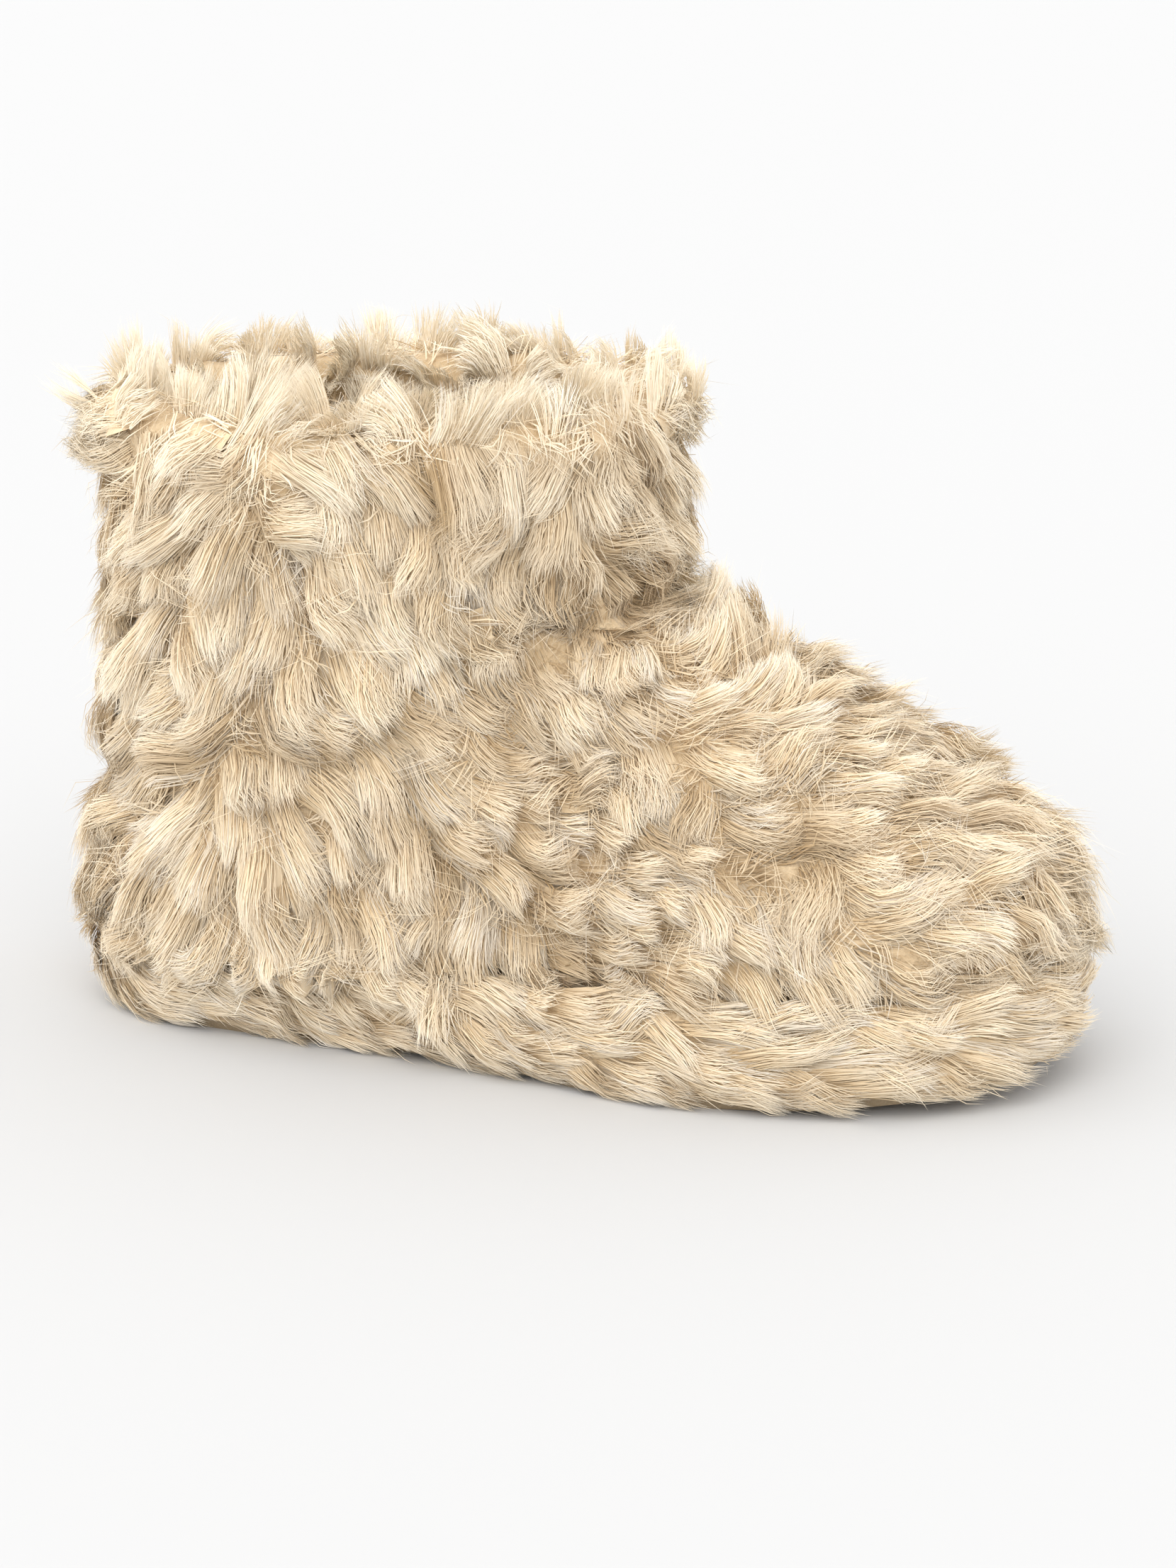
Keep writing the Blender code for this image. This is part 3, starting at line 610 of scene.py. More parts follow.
def charted(points):
    """The chart's direction for points seen from the viewpoint, as vectors."""
    right, up, _ = axes_at(VIEW_TURN, VIEW_RISE)
    rows = np.array(PILE_CHART, float)
    across, above = in_view(points)
    dx = across[:, None] - rows[:, 0] * FOOT_LENGTH
    dy = above[:, None] - rows[:, 1] * COLLAR_HEIGHT
    weight = (np.hypot(dx, dy) + CHART_NEAR) ** -CHART_POWER
    angle = np.radians(rows[:, 2])
    share = unit(weight @ np.stack([np.cos(angle), np.sin(angle)], axis=1))
    return share[:, :1] * right + share[:, 1:] * up


def outwards(points):
    """Level directions away from the shaft's middle."""
    return unit((points - (SHAFT_MIDDLE, 0, 0)) * (1, 1, 0))


def pile_lie(points):
    """How the pile lies at points anywhere on the shoe, as unit vectors."""
    inner = charted(mirrored(points)) * (1, -1, 1)
    share = ramped(points[:, 1:2], 0, SIDES_MEET)
    lie = charted(points) * (1 - share) + inner * share
    lean = COLLAR_LEAN * (points[:, :1] - SHAFT_MIDDLE) / SHAFT_LENGTH
    over = ramped(points[:, 2:] - lean, COLLAR_HEIGHT, COLLAR_HEIGHT + UNDERFUR)
    return unit(lie * (1 - over) + outwards(points) * over)


def band_lie(points):
    """Along the band towards the toe and a little down, and round the toe to the inner side."""
    middle = np.array((HEEL_X + FOOT_LENGTH / 2, 0, 0))
    out = (points - middle) / (FOOT_LENGTH / 2, BALL_WIDTH / 2, 1)
    onward = np.stack([-out[:, 1], out[:, 0] * BALL_WIDTH / FOOT_LENGTH, 0 * out[:, 0]], axis=1)
    onward[(out[:, 1] > 0) & (out[:, 0] < MEETING)] *= -1
    return unit(onward) - (0, 0, BAND_FALL)


def grid_faces(rings, count):
    """Quads between neighbouring rings of count points."""
    low = np.arange(rings - 1)[:, None] * count
    i = np.arange(count)[None, :]
    j = (i + 1) % count
    quads = np.stack([low + i, low + j, low + count + j, low + count + i], axis=-1)
    return quads.reshape(-1, 4)


def grid_normals(grid):
    """Outward normals of a grid of rings."""
    along = np.roll(grid, -1, axis=1) - np.roll(grid, 1, axis=1)
    up = np.gradient(grid, axis=0)
    return unit(np.cross(along, up))


def tree_of(obj):
    """A search tree of an object's mesh."""
    faces = [tuple(face.vertices) for face in obj.data.polygons]
    return BVHTree.FromPolygons([vertex.co for vertex in obj.data.vertices], faces)


def laid_on(grid, tree, depth):
    """The grid of rings moved onto the solid's outer surface, softened, then in by depth."""
    normals = grid_normals(grid)
    height = np.zeros(grid.shape[:2])
    for r in range(grid.shape[0]):
        for s in range(grid.shape[1]):
            start = Vector(grid[r, s] + normals[r, s] * LOOK_OUT)
            hit, _, _, away = tree.ray_cast(start, Vector(-normals[r, s]), 2 * LOOK_OUT)
            height[r, s] = LOOK_OUT - away if hit else 0
    for _ in range(SOFTENING):
        beside = (np.roll(height, 1, axis=1) + np.roll(height, -1, axis=1)) / 2
        height = (height + beside) / 2
        padded = np.pad(height, ((1, 1), (0, 0)), mode="edge")
        height = (height + (padded[:-2] + padded[2:]) / 2) / 2
    return grid + normals * (height - depth)[..., None]


class Skin:
    """A soft surface that pile grows from."""

    def __init__(self, grid, lie, ground):
        self.lie = lie
        self.ground = ground
        self.corner = grid.reshape(-1, 3)[grid_faces(*grid.shape[:2])]
        a, b, c, d = (self.corner[:, k] for k in range(4))
        across = np.cross(c - a, d - b)
        self.areas = np.linalg.norm(across, axis=1) / 2
        self.normals = unit(across)

    def scatter(self, rng, count, kind):
        """Random places on the skin, as thickly as the kind of pile says, with their normals."""
        share = self.areas * told(kind, "thick", self.corner.mean(1))
        face = rng.choice(len(share), count, p=share / share.sum())
        a, b, c, d = (self.corner[face, k] for k in range(4))
        s, t = rng.random((2, count, 1))
        return (a * (1 - s) + b * s) * (1 - t) + (d * (1 - s) + c * s) * t, self.normals[face]


def told(kind, key, points):
    """What a kind of pile says under a key at each point."""
    value = kind[key]
    return value(points) if callable(value) else np.full(len(points), float(value))


def spread(skin, rng, kind):
    """Places on the skin that keep a distance from each other."""
    places, normals = skin.scatter(rng, kind["tries"], kind)
    least = told(kind, "spacing", places)
    kept = np.zeros((len(places), 3))
    chosen = []
    for i, place in enumerate(places):
        n = len(chosen)
        if n == 0 or (np.linalg.norm(kept[:n] - place, axis=1) > least[i]).all():
            kept[n] = place
            chosen.append(i)
    return places[chosen], normals[chosen]


class Tufts:
    """Soft tufts of pile: the guides that they follow, and how they swell over the skin."""

    def __init__(self, length, half, high, place, up):
        self.length = length
        self.half = half
        self.high = high
        self.step = (length + TUFT_BEFORE + TUFT_AFTER) / (TUFT_STEPS - 1)
        self.place = place
        self.ahead = unit(np.gradient(place, axis=1))
        self.side = unit(np.cross(up, self.ahead))
        self.up = np.cross(self.ahead, self.side)

    def at(self, tuft, along):
        """Places and frames on the guides, at distances past the tufts' roots."""
        share = np.clip((along + TUFT_BEFORE) / self.step[tuft], 0, TUFT_STEPS - 1.001)
        i = share.astype(int)
        t = (share - i)[..., None]
        rows = (self.place, self.up, self.side)
        return [row[tuft, i] * (1 - t) + row[tuft, i + 1] * t for row in rows]

    def height(self, tuft, along, across):
        """How high the tufts' bodies stand over the skin."""
        share = along / self.length[tuft]
        rise = ramped(share, *BODY_RISE)
        rise = rise * rise * (3 - 2 * rise)
        half = self.half[tuft] * (1 - TAPER * ramped(share, *BODY_TAPER) ** 2)
        return self.high[tuft] * rise * (1 - np.clip(np.abs(across) / half, 0, 1) ** 2)

    def lay(self, tuft, along, across, over, level):
        """Places in the tufts at a share of their height, with the way that their surface faces."""
        place, up, side = self.at(tuft, along)
        ahead = np.cross(side, up)
        high = self.height(tuft, along, across) * level
        uphill = (self.height(tuft, along + SLOPE_STEP, across) * level - high) / SLOPE_STEP
        sideways = (self.height(tuft, along, across + SLOPE_STEP) * level - high) / SLOPE_STEP
        low = 1 - CREASE_LOW * crease(place.reshape(-1, 3)).reshape(along.shape)
        line = place + side * across[..., None] + up * ((high + over) * low)[..., None]
        facing = unit(up - ahead * (uphill * low)[..., None] - side * (sideways * low)[..., None])
        return line, up, facing


def walked(skin, places, ups, run, steps, turn, bend, swirl):
    """Places along the ground, the way the pile lies there, each in a bend of its own."""
    place, up = places.copy(), ups.copy()
    trail, lifts = [place.copy()], [up.copy()]
    for k in range(steps):
        lie = skin.lie(place)
        lie = unit(lie - up * np.sum(lie * up, axis=1, keepdims=True))
        angle = turn + bend * k / steps + swirl * swirls(place)
        lie = lie * np.cos(angle)[:, None] + np.cross(up, lie) * np.sin(angle)[:, None]
        goal = place + lie * (run / steps)[:, None]
        for i, point in enumerate(goal):
            near, normal, _, _ = skin.ground.find_nearest(Vector(point))
            place[i], up[i] = near, normal
        trail.append(place.copy())
        lifts.append(up.copy())
    return np.stack(trail, axis=1), np.stack(lifts, axis=1)


def swirls(points):
    """Slow changes of the pile's direction over the shoe, from -1 to 1."""
    waves = np.array(SWIRLS, float)
    return np.sin(points @ waves[:, :3].T + waves[:, 3]).mean(1) * SWIRL_GAIN


def lying_guides(skin, roots, normals, length, kind, rng):
    """Guides that run along the ground."""
    turn = rng.normal(0, kind["wander"], len(roots))
    bend = rng.normal(0, kind["bend"], len(roots))
    before = np.full(len(roots), -TUFT_BEFORE)
    place, up = walked(skin, roots, normals, before, BACK_STEPS, turn, 0 * bend, kind["swirl"])
    run = TUFT_BEFORE + length + TUFT_AFTER
    return walked(skin, place[:, -1], up[:, -1], run, TUFT_STEPS - 1, turn, bend, kind["swirl"])


def standing_guides(skin, roots, normals, length, kind, rng):
    """Guides that stand away from the collar and curl over."""
    rise = np.array((0, 0, 1.0))
    out = outwards(roots)
    over = ramped(roots[:, 2:], *ROLL_HEIGHTS)
    lying, facing, upright = (a + b * over for a, b in zip(STAND_OUTER, STAND_OVER))
    outer = skin.lie(roots) * lying + normals * facing + rise * upright
    far = ramped(roots[:, 1:2], *FAR_SIDE)
    facing, upright = (a + b * far for a, b in zip(STAND_INNER, STAND_FAR))
    inner = normals * facing + rise * upright
    within = ramped(-np.sum(normals * out, axis=1, keepdims=True), -0.4, 0.4)
    first = outer * (1 - within) + inner * within + rng.normal(0, kind["wander"], roots.shape)
    first = unit(first)
    last = first + rng.normal(0, kind["bend"], roots.shape) + out * 0.1 - rise * (0.25 - 0.15 * within)
    last = unit(last)
    whole = (TUFT_BEFORE + TUFT_AFTER + length)[:, None, None]
    run = -TUFT_BEFORE + whole * np.linspace(0, 1, TUFT_STEPS)[None, :, None]
    share = np.clip(run / length[:, None, None], 0, 1.2)
    place = roots[:, None] + (first[:, None] + (last - first)[:, None] * share / 2) * run
    facing = np.sum(normals * out, axis=1, keepdims=True) + rng.normal(0, 0.3, (len(roots), 1))
    return place, (out * np.sign(facing) + 0.2 * rise)[:, None] + 0 * place


def make_tufts(skin, kind, rng):
    """Tufts spread over the skin, each following its guide."""
    roots, normals = spread(skin, rng, kind)
    count = len(roots)
    length = told(kind, "length", roots) * rng.uniform(*LENGTH_RANGE, count)
    high = told(kind, "high", roots) * rng.uniform(*HEIGHT_RANGE, count)
    half = told(kind, "spacing", roots) * rng.uniform(*HALF_RANGE, count)
    guides = standing_guides if kind["standing"] else lying_guides
    place, up = guides(skin, roots, normals, length, kind, rng)
    outward = np.clip(np.sum(skin.lie(roots) * normals, axis=1), 0, 1)
    lift = told(kind, "lift", roots) * outward * length
    return roots, Tufts(length, half, high, place, up), lift


def grouped(places, group):
    """Places moved whole metres apart by group."""
    return places + np.stack([group % GROUPS_ACROSS, group // GROUPS_ACROSS, 0 * group], axis=1)


def nearest(places, others, group=None, other_group=None):
    """The index of the nearest other for each place, of its own group where groups are given."""
    if group is not None:
        places, others = grouped(places, group), grouped(others, other_group)
    tree = KDTree(len(others))
    for i, other in enumerate(others):
        tree.insert(other, i)
    tree.balance()
    return np.array([tree.find(p)[1] for p in places])


def grow_pile(skin, kind, rng):
    """Tufts and the strands on them: lines, ups, soft normals, tones, roots, tufts and their shades."""
    roots, tufts, lift = make_tufts(skin, kind, rng)
    count = len(roots)
    # The kind's tone, with its painted light on the rim, and a random spread by tuft
    tuft_shade = told(kind, "tone", roots) + rng.normal(0, kind["tuft_shade"], count)

    places, _ = skin.scatter(rng, kind["strands"], kind)
    total = len(places)
    tuft = nearest(places, roots)
    offset = places - roots[tuft]
    base = (TUFT_BEFORE / tufts.step).astype(int)
    ahead, side = (row[np.arange(count), base][tuft] for row in (tufts.ahead, tufts.side))
    a = np.sum(offset * ahead, axis=1)
    b = np.sum(offset * side, axis=1)

    picks = rng.choice(total, total // kind["wisp"], replace=False)
    wisp = nearest(places, places[picks], tuft, tuft[picks])
    n = len(picks)
    long = rng.normal(0, kind["uneven"], n)[wisp]
    drift = rng.normal(0, kind["drift"], n)[wisp]
    rising = np.abs(rng.normal(0, kind["rising"], n))[wisp]
    wisp_shade = rng.normal(0, kind["wisp_shade"], n)[wisp]

    own = tufts.length[tuft] * (1 + long + rng.normal(0, OWN_LENGTH, total))
    end = (a + own) * (1 - kind["gather"]) + own * kind["gather"]
    loose = np.where(rng.random(total) < kind["loose"], LOOSE_STRAY, 1.0)
    t = np.array(kind["stations"])[None, :]
    late = t**1.5
    clump = kind["clump"] * np.clip(t * 1.15, 0, 1) ** 1.3
    along = a[:, None] + (end - a)[:, None] * t + (a[picks][wisp] - a)[:, None] * clump * 0.3
    lat = b[:, None] * (1 - clump) + b[picks][wisp][:, None] * clump
    lat = lat * (1 + kind["fan"] * t**2) + drift[:, None] * t**2
    lat = lat + (rng.normal(0, kind["stray"], total) * loose)[:, None] * late
    curls = curly(places)
    crimp = rng.normal(0, 1, (2, total)) * (kind["frizz"] + CURL_SIZE * curls)
    phase = rng.uniform(0, 2 * math.pi, (total, 1))
    curl = kind["curl"] + 3 * curls[:, None]
    lat = lat + crimp[0][:, None] * np.sin(phase + t * curl) * t
    over = kind["loft"] * (rng.random(total) ** 2)[:, None] * (0.3 + 0.7 * t)
    flare = (told(kind, "flare", roots) * np.abs(rng.normal(0, 1, count)))[tuft]
    over = over + flare[:, None] * t**2.5 + lift[tuft][:, None] * t**1.6 + rising[:, None] * late
    over = over + np.abs(crimp[1][:, None] * np.cos(phase + t * curl)) * t
    over = over + (rng.random(total) * LOOSE_RISE * (loose - 1))[:, None] * late
    sunk = rng.random(total) < kind["under"]
    level = BODY_SHARE + (TOP_LEVEL - BODY_SHARE) * rng.random(total)
    level = np.where(sunk, UNDER_LEVEL, level)
    over = over * np.sign(level)[:, None]
    tuft_rows = np.repeat(tuft[:, None], t.size, 1)
    line, up, soft = tufts.lay(tuft_rows, along, lat, over, level[:, None])
    line[..., 2] = np.maximum(line[..., 2], FLOOR_GAP)
    line[..., 2] -= 0.5 * np.maximum(line[..., 2] - HAIR_TOP, 0)

    tone = tuft_shade[tuft] + shade(line[:, -2]) + wisp_shade + rng.normal(0, OWN_TONE, total)
    grey = rng.random(n)[wisp] < told(kind, "grey", places)
    u = np.clip(tone, 0.02, 0.98) * TONE_SHARE + TONE_START + 0.5 * grey
    return line, up, soft, u, told(kind, "pale", places), roots[tuft, 0], tufts, tuft_shade


def tuft_bodies(name, tufts, shades, kind, material):
    """One object of the tufts' soft bodies, each a tongue with a rounded end."""
    count = len(shades)
    share = np.linspace(0, 1, BODY_ROWS)
    across = np.linspace(-1, 1, BODY_COLUMNS)
    along = (BODY_START + (kind["reach"] - BODY_START) * share) * tufts.length[:, None]
    along = np.repeat(along[..., None], BODY_COLUMNS, 2)
    tuft = np.repeat(np.arange(count), BODY_ROWS * BODY_COLUMNS).reshape(along.shape)
    end = rounded(ramped(share, *BODY_END), 2.0)
    half = kind["broad"] * tufts.half[:, None, None] * end[None, :, None]
    nose = NOSE_DROP * tufts.high[:, None] * ramped(share, *NOSE)[None, :] ** 2
    over = np.repeat(nose[..., None], BODY_COLUMNS, 2)
    grid, _, _ = tufts.lay(tuft, along, half * across, over, BODY_SHARE)
    grid[..., 2] = np.maximum(grid[..., 2], FLOOR_GAP)
    # Painted shade: the body's colour nears the roots' darker colours towards its start and its edges
    v = BODY_HEIGHTS[0] + BODY_HEIGHTS[1] * share[None, :, None]
    v = v * (1 - BODY_EDGE_PAINTED_SHADE * np.abs(across) ** 4) + 0 * along
    tone = shades[:, None, None] + shade(grid.reshape(-1, 3)).reshape(along.shape)
    tone = np.clip(tone.mean(axis=(1, 2), keepdims=True), 0.03, 0.97)
    u = tone * BODY_TONE_SHARE + BODY_TONE_START + BODY_TONE_WIDTH * across
    quad = np.array((0, 1, BODY_COLUMNS + 1, BODY_COLUMNS))
    columns = np.arange(BODY_COLUMNS - 1)[None, :]
    quads = np.arange(BODY_ROWS - 1)[:, None] * BODY_COLUMNS + columns
    first = np.arange(count) * BODY_ROWS * BODY_COLUMNS
    quads = (quads.reshape(-1, 1) + quad)[None] + first[:, None, None]
    uv = np.stack([u + 0 * v, v], axis=-1).reshape(-1, 2)
    return mesh_object(name, grid.reshape(-1, 3), [quads.reshape(-1, 4)[:, ::-1]], uv, None, material)


def ribbons(name, line, up, soft, u, pale, kind, material, rng):
    """One object of flat tapering strands."""
    total, points = line.shape[:2]
    t = np.array(kind["stations"])[None, :]
    tangent = unit(np.gradient(line, axis=1))
    flat = unit(np.cross(up, tangent))
    facing = np.cross(tangent, flat)
    roll = rng.normal(0, kind["roll"], (total, 1, 1))
    across = flat * np.cos(roll) + facing * np.sin(roll)
    soften = kind["soften"] * (1 - t**2)[..., None]
    soft = unit(facing * np.cos(roll) - flat * np.sin(roll) + soften * soft)
    width = kind["width"] * rng.uniform(*WIDTH_RANGE, (total, 1, 1))
    reach = across * width * ((1 - t**4)[..., None] * (1 - TIP_WIDTH) + TIP_WIDTH) / 2
    pairs = np.stack([line - reach, line + reach], axis=2)[:, :-1].reshape(total, -1, 3)
    places = np.concatenate([pairs, line[:, -1:]], axis=1)
    normals = np.concatenate([np.repeat(soft[:, :-1], 2, axis=1), soft[:, -1:]], axis=1)
    u_pairs = np.stack([u - TONE_WIDTH, u + TONE_WIDTH], axis=1)
    uv = np.zeros((total, 2 * points - 1, 2))
    uv[:, :-1, 0] = np.tile(u_pairs, points - 1)
    uv[:, -1, 0] = u
    # Along a strand, v runs from root to tip, so the roots take the darker colours, a painted shade deep
    # in the pile; pale lifts the roots towards the tips' colour
    uv[..., 1] = pale[:, None] + (1 - pale[:, None]) * np.append(np.repeat(t[0, :-1], 2), 1)
    k = np.arange(points - 2)[:, None] * 2
    quads = (k + (1, 0, 2, 3))[None]
    tips = np.array((2 * points - 3, 2 * points - 4, 2 * points - 2))[None, None]
    shift = (np.arange(total) * (2 * points - 1))[:, None, None]
    quads, tips = (quads + shift).reshape(-1, 4), (tips + shift).reshape(-1, 3)

    uv, normals = uv.reshape(-1, 2), normals.reshape(-1, 3)
    return mesh_object(name, places.reshape(-1, 3), [quads, tips], uv, normals, material)


def new_object(name, data, material=None):
    """An object in the scene, with its material where it is a mesh."""
    if material:
        data.shade_smooth()
        data.materials.append(material)
    obj = bpy.data.objects.new(name, data)
    bpy.context.scene.collection.objects.link(obj)
    return obj


def mesh_object(name, places, faces, uv, normals, material):
    """A piece from arrays: its places, faces by number of sides, and UV and normals by place."""
    mesh = bpy.data.meshes.new(name)
    mesh.vertices.add(len(places))
    mesh.vertices.foreach_set("co", places.astype(np.float32).ravel())
    corners = np.concatenate([f.ravel() for f in faces])
    mesh.loops.add(len(corners))
    mesh.loops.foreach_set("vertex_index", corners.astype(np.int32))
    sizes = np.concatenate([np.full(len(f), f.shape[1]) for f in faces])
    mesh.polygons.add(len(sizes))
    mesh.polygons.foreach_set("loop_start", (np.cumsum(sizes) - sizes).astype(np.int32))
    if uv is not None:
        layer = mesh.uv_layers.new(name="OFBake")
        layer.data.foreach_set("uv", uv[corners].astype(np.float32).ravel())
    mesh.update(calc_edges=True)
    obj = new_object(name, mesh, material)
    if normals is not None:
        mesh.normals_split_custom_set_from_vertices(normals.astype(np.float32))
    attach(obj, "root")
    return obj


def grid_object(name, grid, material):
    """A piece from a grid of rings."""
    return mesh_object(name, grid.reshape(-1, 3), [grid_faces(*grid.shape[:2])], None, None, material)


def srgb(*channels):
    """A screen colour from 0 to 255 as linear light."""
    shares = [c / 255 for c in channels]
    return tuple(c / 12.92 if c < 0.04045 else ((c + 0.055) / 1.055) ** 2.4 for c in shares)


def ramp(tree, source, stops, colours):
    """Screen colours along the source."""
    made = tree.nodes.new("ShaderNodeValToRGB")
    tree.links.new(source, made.inputs[0])
    band = made.color_ramp
    while len(band.elements) < len(stops):
        band.elements.new(0.5)
    for element, at, colour in zip(band.elements, stops, colours):
        element.position = at
        element.color = (*srgb(*colour), 1)
    return made.outputs[0]


def calculate(tree, operation, *values):
    """A sum of sockets and plain numbers, as a Math node."""
    made = tree.nodes.new("ShaderNodeMath")
    made.operation = operation
    for socket, value in zip(made.inputs, values):
        if isinstance(value, float):
            socket.default_value = value
        else:
            tree.links.new(value, socket)
    return made.outputs[0]


def mixed(tree, share, first, second):
    """Two colours mixed by a share."""
    made = tree.nodes.new("ShaderNodeMix")
    made.data_type = "RGBA"
    sockets = (made.inputs[0], made.inputs[6], made.inputs[7])
    for socket, value in zip(sockets, (share, first, second)):
        tree.links.new(value, socket)
    return made.outputs[2]


def noise(tree, place, scale, detail):
    """Noise over places."""
    made = tree.nodes.new("ShaderNodeTexNoise")
    made.inputs["Scale"].default_value = scale
    made.inputs["Detail"].default_value = detail
    tree.links.new(place, made.inputs["Vector"])
    return made


def shaded_material(name, surface):
    """A new material with plain values on its shader's sockets."""
    made = bpy.data.materials.new(name)
    made.use_nodes = True
    shader = made.node_tree.nodes["Principled BSDF"]
    for socket, value in surface.items():
        shader.inputs[socket].default_value = value
    return made, made.node_tree, shader


def pile_material(name, warm, cool):
    """Fur whose colour runs from root to tip, with darker roots as painted shade deep in the pile, darker
    or paler by strand, warm or greyer.
    """
    made, tree, shader = shaded_material(name, PILE_SURFACE)
    shader.inputs["Sheen Tint"].default_value = (*srgb(255, 246, 230), 1)
    uv = tree.nodes.new("ShaderNodeUVMap")
    uv.uv_map = "OFBake"
    parts = tree.nodes.new("ShaderNodeSeparateXYZ")
    tree.links.new(uv.outputs[0], parts.inputs[0])
    u, v = parts.outputs[0], parts.outputs[1]
    tone = calculate(tree, "FRACT", calculate(tree, "MULTIPLY", u, 2.0))
    stretched = tree.nodes.new("ShaderNodeVectorMath")
    stretched.operation = "MULTIPLY"
    stretched.inputs[1].default_value = (HAIRS_ACROSS, HAIRS_ALONG, 0)
    tree.links.new(uv.outputs[0], stretched.inputs[0])
    hairs = noise(tree, stretched.outputs[0], 1, 2)
    hairs.noise_dimensions = "2D"
    streak = calculate(tree, "SUBTRACT", hairs.outputs[0], 0.5)
    tone = calculate(tree, "ADD", tone, calculate(tree, "MULTIPLY", streak, STREAKS))
    grey = calculate(tree, "GREATER_THAN", u, 0.5)
    kinds = []
    for pair in (warm, cool):
        ends = [ramp(tree, v, RUN, colours) for colours in pair]
        kinds.append(mixed(tree, tone, *ends))
    tree.links.new(mixed(tree, grey, *kinds), shader.inputs["Base Color"])
    return made


def grained_material(name, dark, pale, patch, grain, height, roughness, sheen):
    """A material with slow patches, a fine grain and its bumps: patch and grain are in metres."""
    surface = {"Specular IOR Level": 0.25, "Sheen Weight": sheen, "Sheen Roughness": 0.5}
    made, tree, shader = shaded_material(name, surface)
    place = tree.nodes.new("ShaderNodeTexCoord").outputs["Object"]
    noises = [noise(tree, place, 1 / patch, 2).outputs[0], noise(tree, place, 1 / grain, 4).outputs[0]]
    both = calculate(tree, "ADD", *(calculate(tree, "MULTIPLY", n, 0.5) for n in noises))
    tree.links.new(ramp(tree, both, GRAIN_STOPS, (dark, pale)), shader.inputs["Base Color"])
    rough = calculate(tree, "MULTIPLY", noises[1], GRAIN_ROUGH)
    rough = calculate(tree, "ADD", rough, roughness - GRAIN_ROUGH / 2)
    tree.links.new(rough, shader.inputs["Roughness"])
    bump = tree.nodes.new("ShaderNodeBump")
    bump.inputs["Strength"].default_value = BUMP_STRENGTH
    bump.inputs["Distance"].default_value = height
    tree.links.new(noises[1], bump.inputs["Height"])
    tree.links.new(bump.outputs[0], shader.inputs["Normal"])
    return made


def dress(node, material):
    """Puts a material on a CAD node."""
    materials = nodes[node].data.materials
    materials.clear()
    materials.append(material)


def upper_grid():
    """Rings over the upper's dense pile, from the band up to the collar."""
    rise = COLLAR_HEIGHT - UPPER_SHELF
    rings = []
    for up in np.linspace(-0.05, 1.0, UPPER_RINGS):
        swell = COLLAR_SWELL * ramped(up, SWELL_START, 1)
        rings.append(Form(FULL_WALL + swell).ring(UPPER_SHELF + up * rise))
    return rings


def swept(side, start, count, ring):
    """Rings along a side that is given as rows of out and up."""
    table = [(k, *row) for k, row in enumerate(side)]
    steps = np.linspace(start, len(side) - 1, count)
    return [ring(float(smooth(table, 1, k)), float(smooth(table, 2, k))) for k in steps]


def collar_ring(out, up):
    """A ring of the rolled collar."""
    return Form(out * (FULL_WALL + COLLAR_SWELL)).ring(COLLAR_HEIGHT) + (0, 0, up * UNDERFUR)


def band_ring(out, up):
    """A ring of the band, from its lip to its top."""
    grow = LINING_WALL + GAP + out * BAND_THICKNESS
    return plan_ring(grow, BAND_LIP + up * (BAND_TOP - BAND_LIP))


def lining_grid():
    """Rings down the lining, from the collar to the footbed."""
    rings = []
    start = COLLAR_HEIGHT + COLLAR_ROLL[-1][1] * UNDERFUR
    for share in np.linspace(0.03, 1, LINING_RINGS):
        z = start + (LINING_LOW - start) * share
        out = COLLAR_ROLL[-1][0] * (FULL_WALL + COLLAR_SWELL) * (1 - ramped(share, 0, 0.15))
        rings.append(Form(out).ring(z))
    last = rings[-1]
    low = plan_ring(0, UPPER_SHELF - GAP)
    for share in (0.35, 0.7, 1.0):
        rings.append(last * (1 - share) + low * share)
    return rings + [plan_ring(0, height) for height in LINING_FOOT]


def make_camera():
    right, up, back = (Vector(axis) for axis in axes_at(CAMERA_TURN, CAMERA_RISE))
    data = bpy.data.cameras.new("camera")
    data.lens = CAMERA_LENS
    camera = new_object("camera", data)
    place = right * AIM_ACROSS + up * AIM_UP + back * CAMERA_DISTANCE
    axes = Matrix((right, up, back)).transposed().to_4x4()
    camera.matrix_world = Matrix.Translation(place) @ axes
    bpy.context.scene.camera = camera


def make_studio():
    mesh = bpy.data.meshes.new("floor")
    corners = [(x * FLOOR_REACH, y * FLOOR_REACH, 0) for x, y in ((-1, -1), (1, -1), (1, 1), (-1, 1))]
    mesh.from_pydata(corners, [], [(0, 1, 2, 3)])
    white = {"Base Color": (FLOOR, FLOOR, FLOOR, 1), "Roughness": 0.9}
    new_object("floor", mesh, shaded_material("floor_white", white)[0])
    world = bpy.data.worlds.new("studio")
    world.use_nodes = True
    world.node_tree.nodes["Background"].inputs["Color"].default_value = (1, 1, 1, 1)
    world.node_tree.nodes["Background"].inputs["Strength"].default_value = SKY
    bpy.context.scene.world = world
    for name, turn, rise, strength, width in LAMPS:
        data = bpy.data.lights.new(name, "SUN")
        data.energy = strength
        data.angle = math.radians(width)
        lamp = new_object(name, data)
        lamp.rotation_mode = "QUATERNION"
        lamp.rotation_quaternion = Vector(axes_at(turn, rise)[2]).to_track_quat("Z", "Y")
    bpy.context.scene.view_settings.view_transform = "Standard"


def near_collar(points):
    """0 over the foot, 1 at the collar."""
    return ramped(points[:, 2], 0.11, 0.155)


def on_foot(points):
    """0 on the shaft, 1 on the foot."""
    return ramped(points[:, 0] - 0.5 * points[:, 2], 0.01, 0.04)


def on_rim(points):
    """0 below the collar, 1 on its roll, where painted light makes the pile paler."""
    return ramped(points[:, 2], 0.148, 0.162)


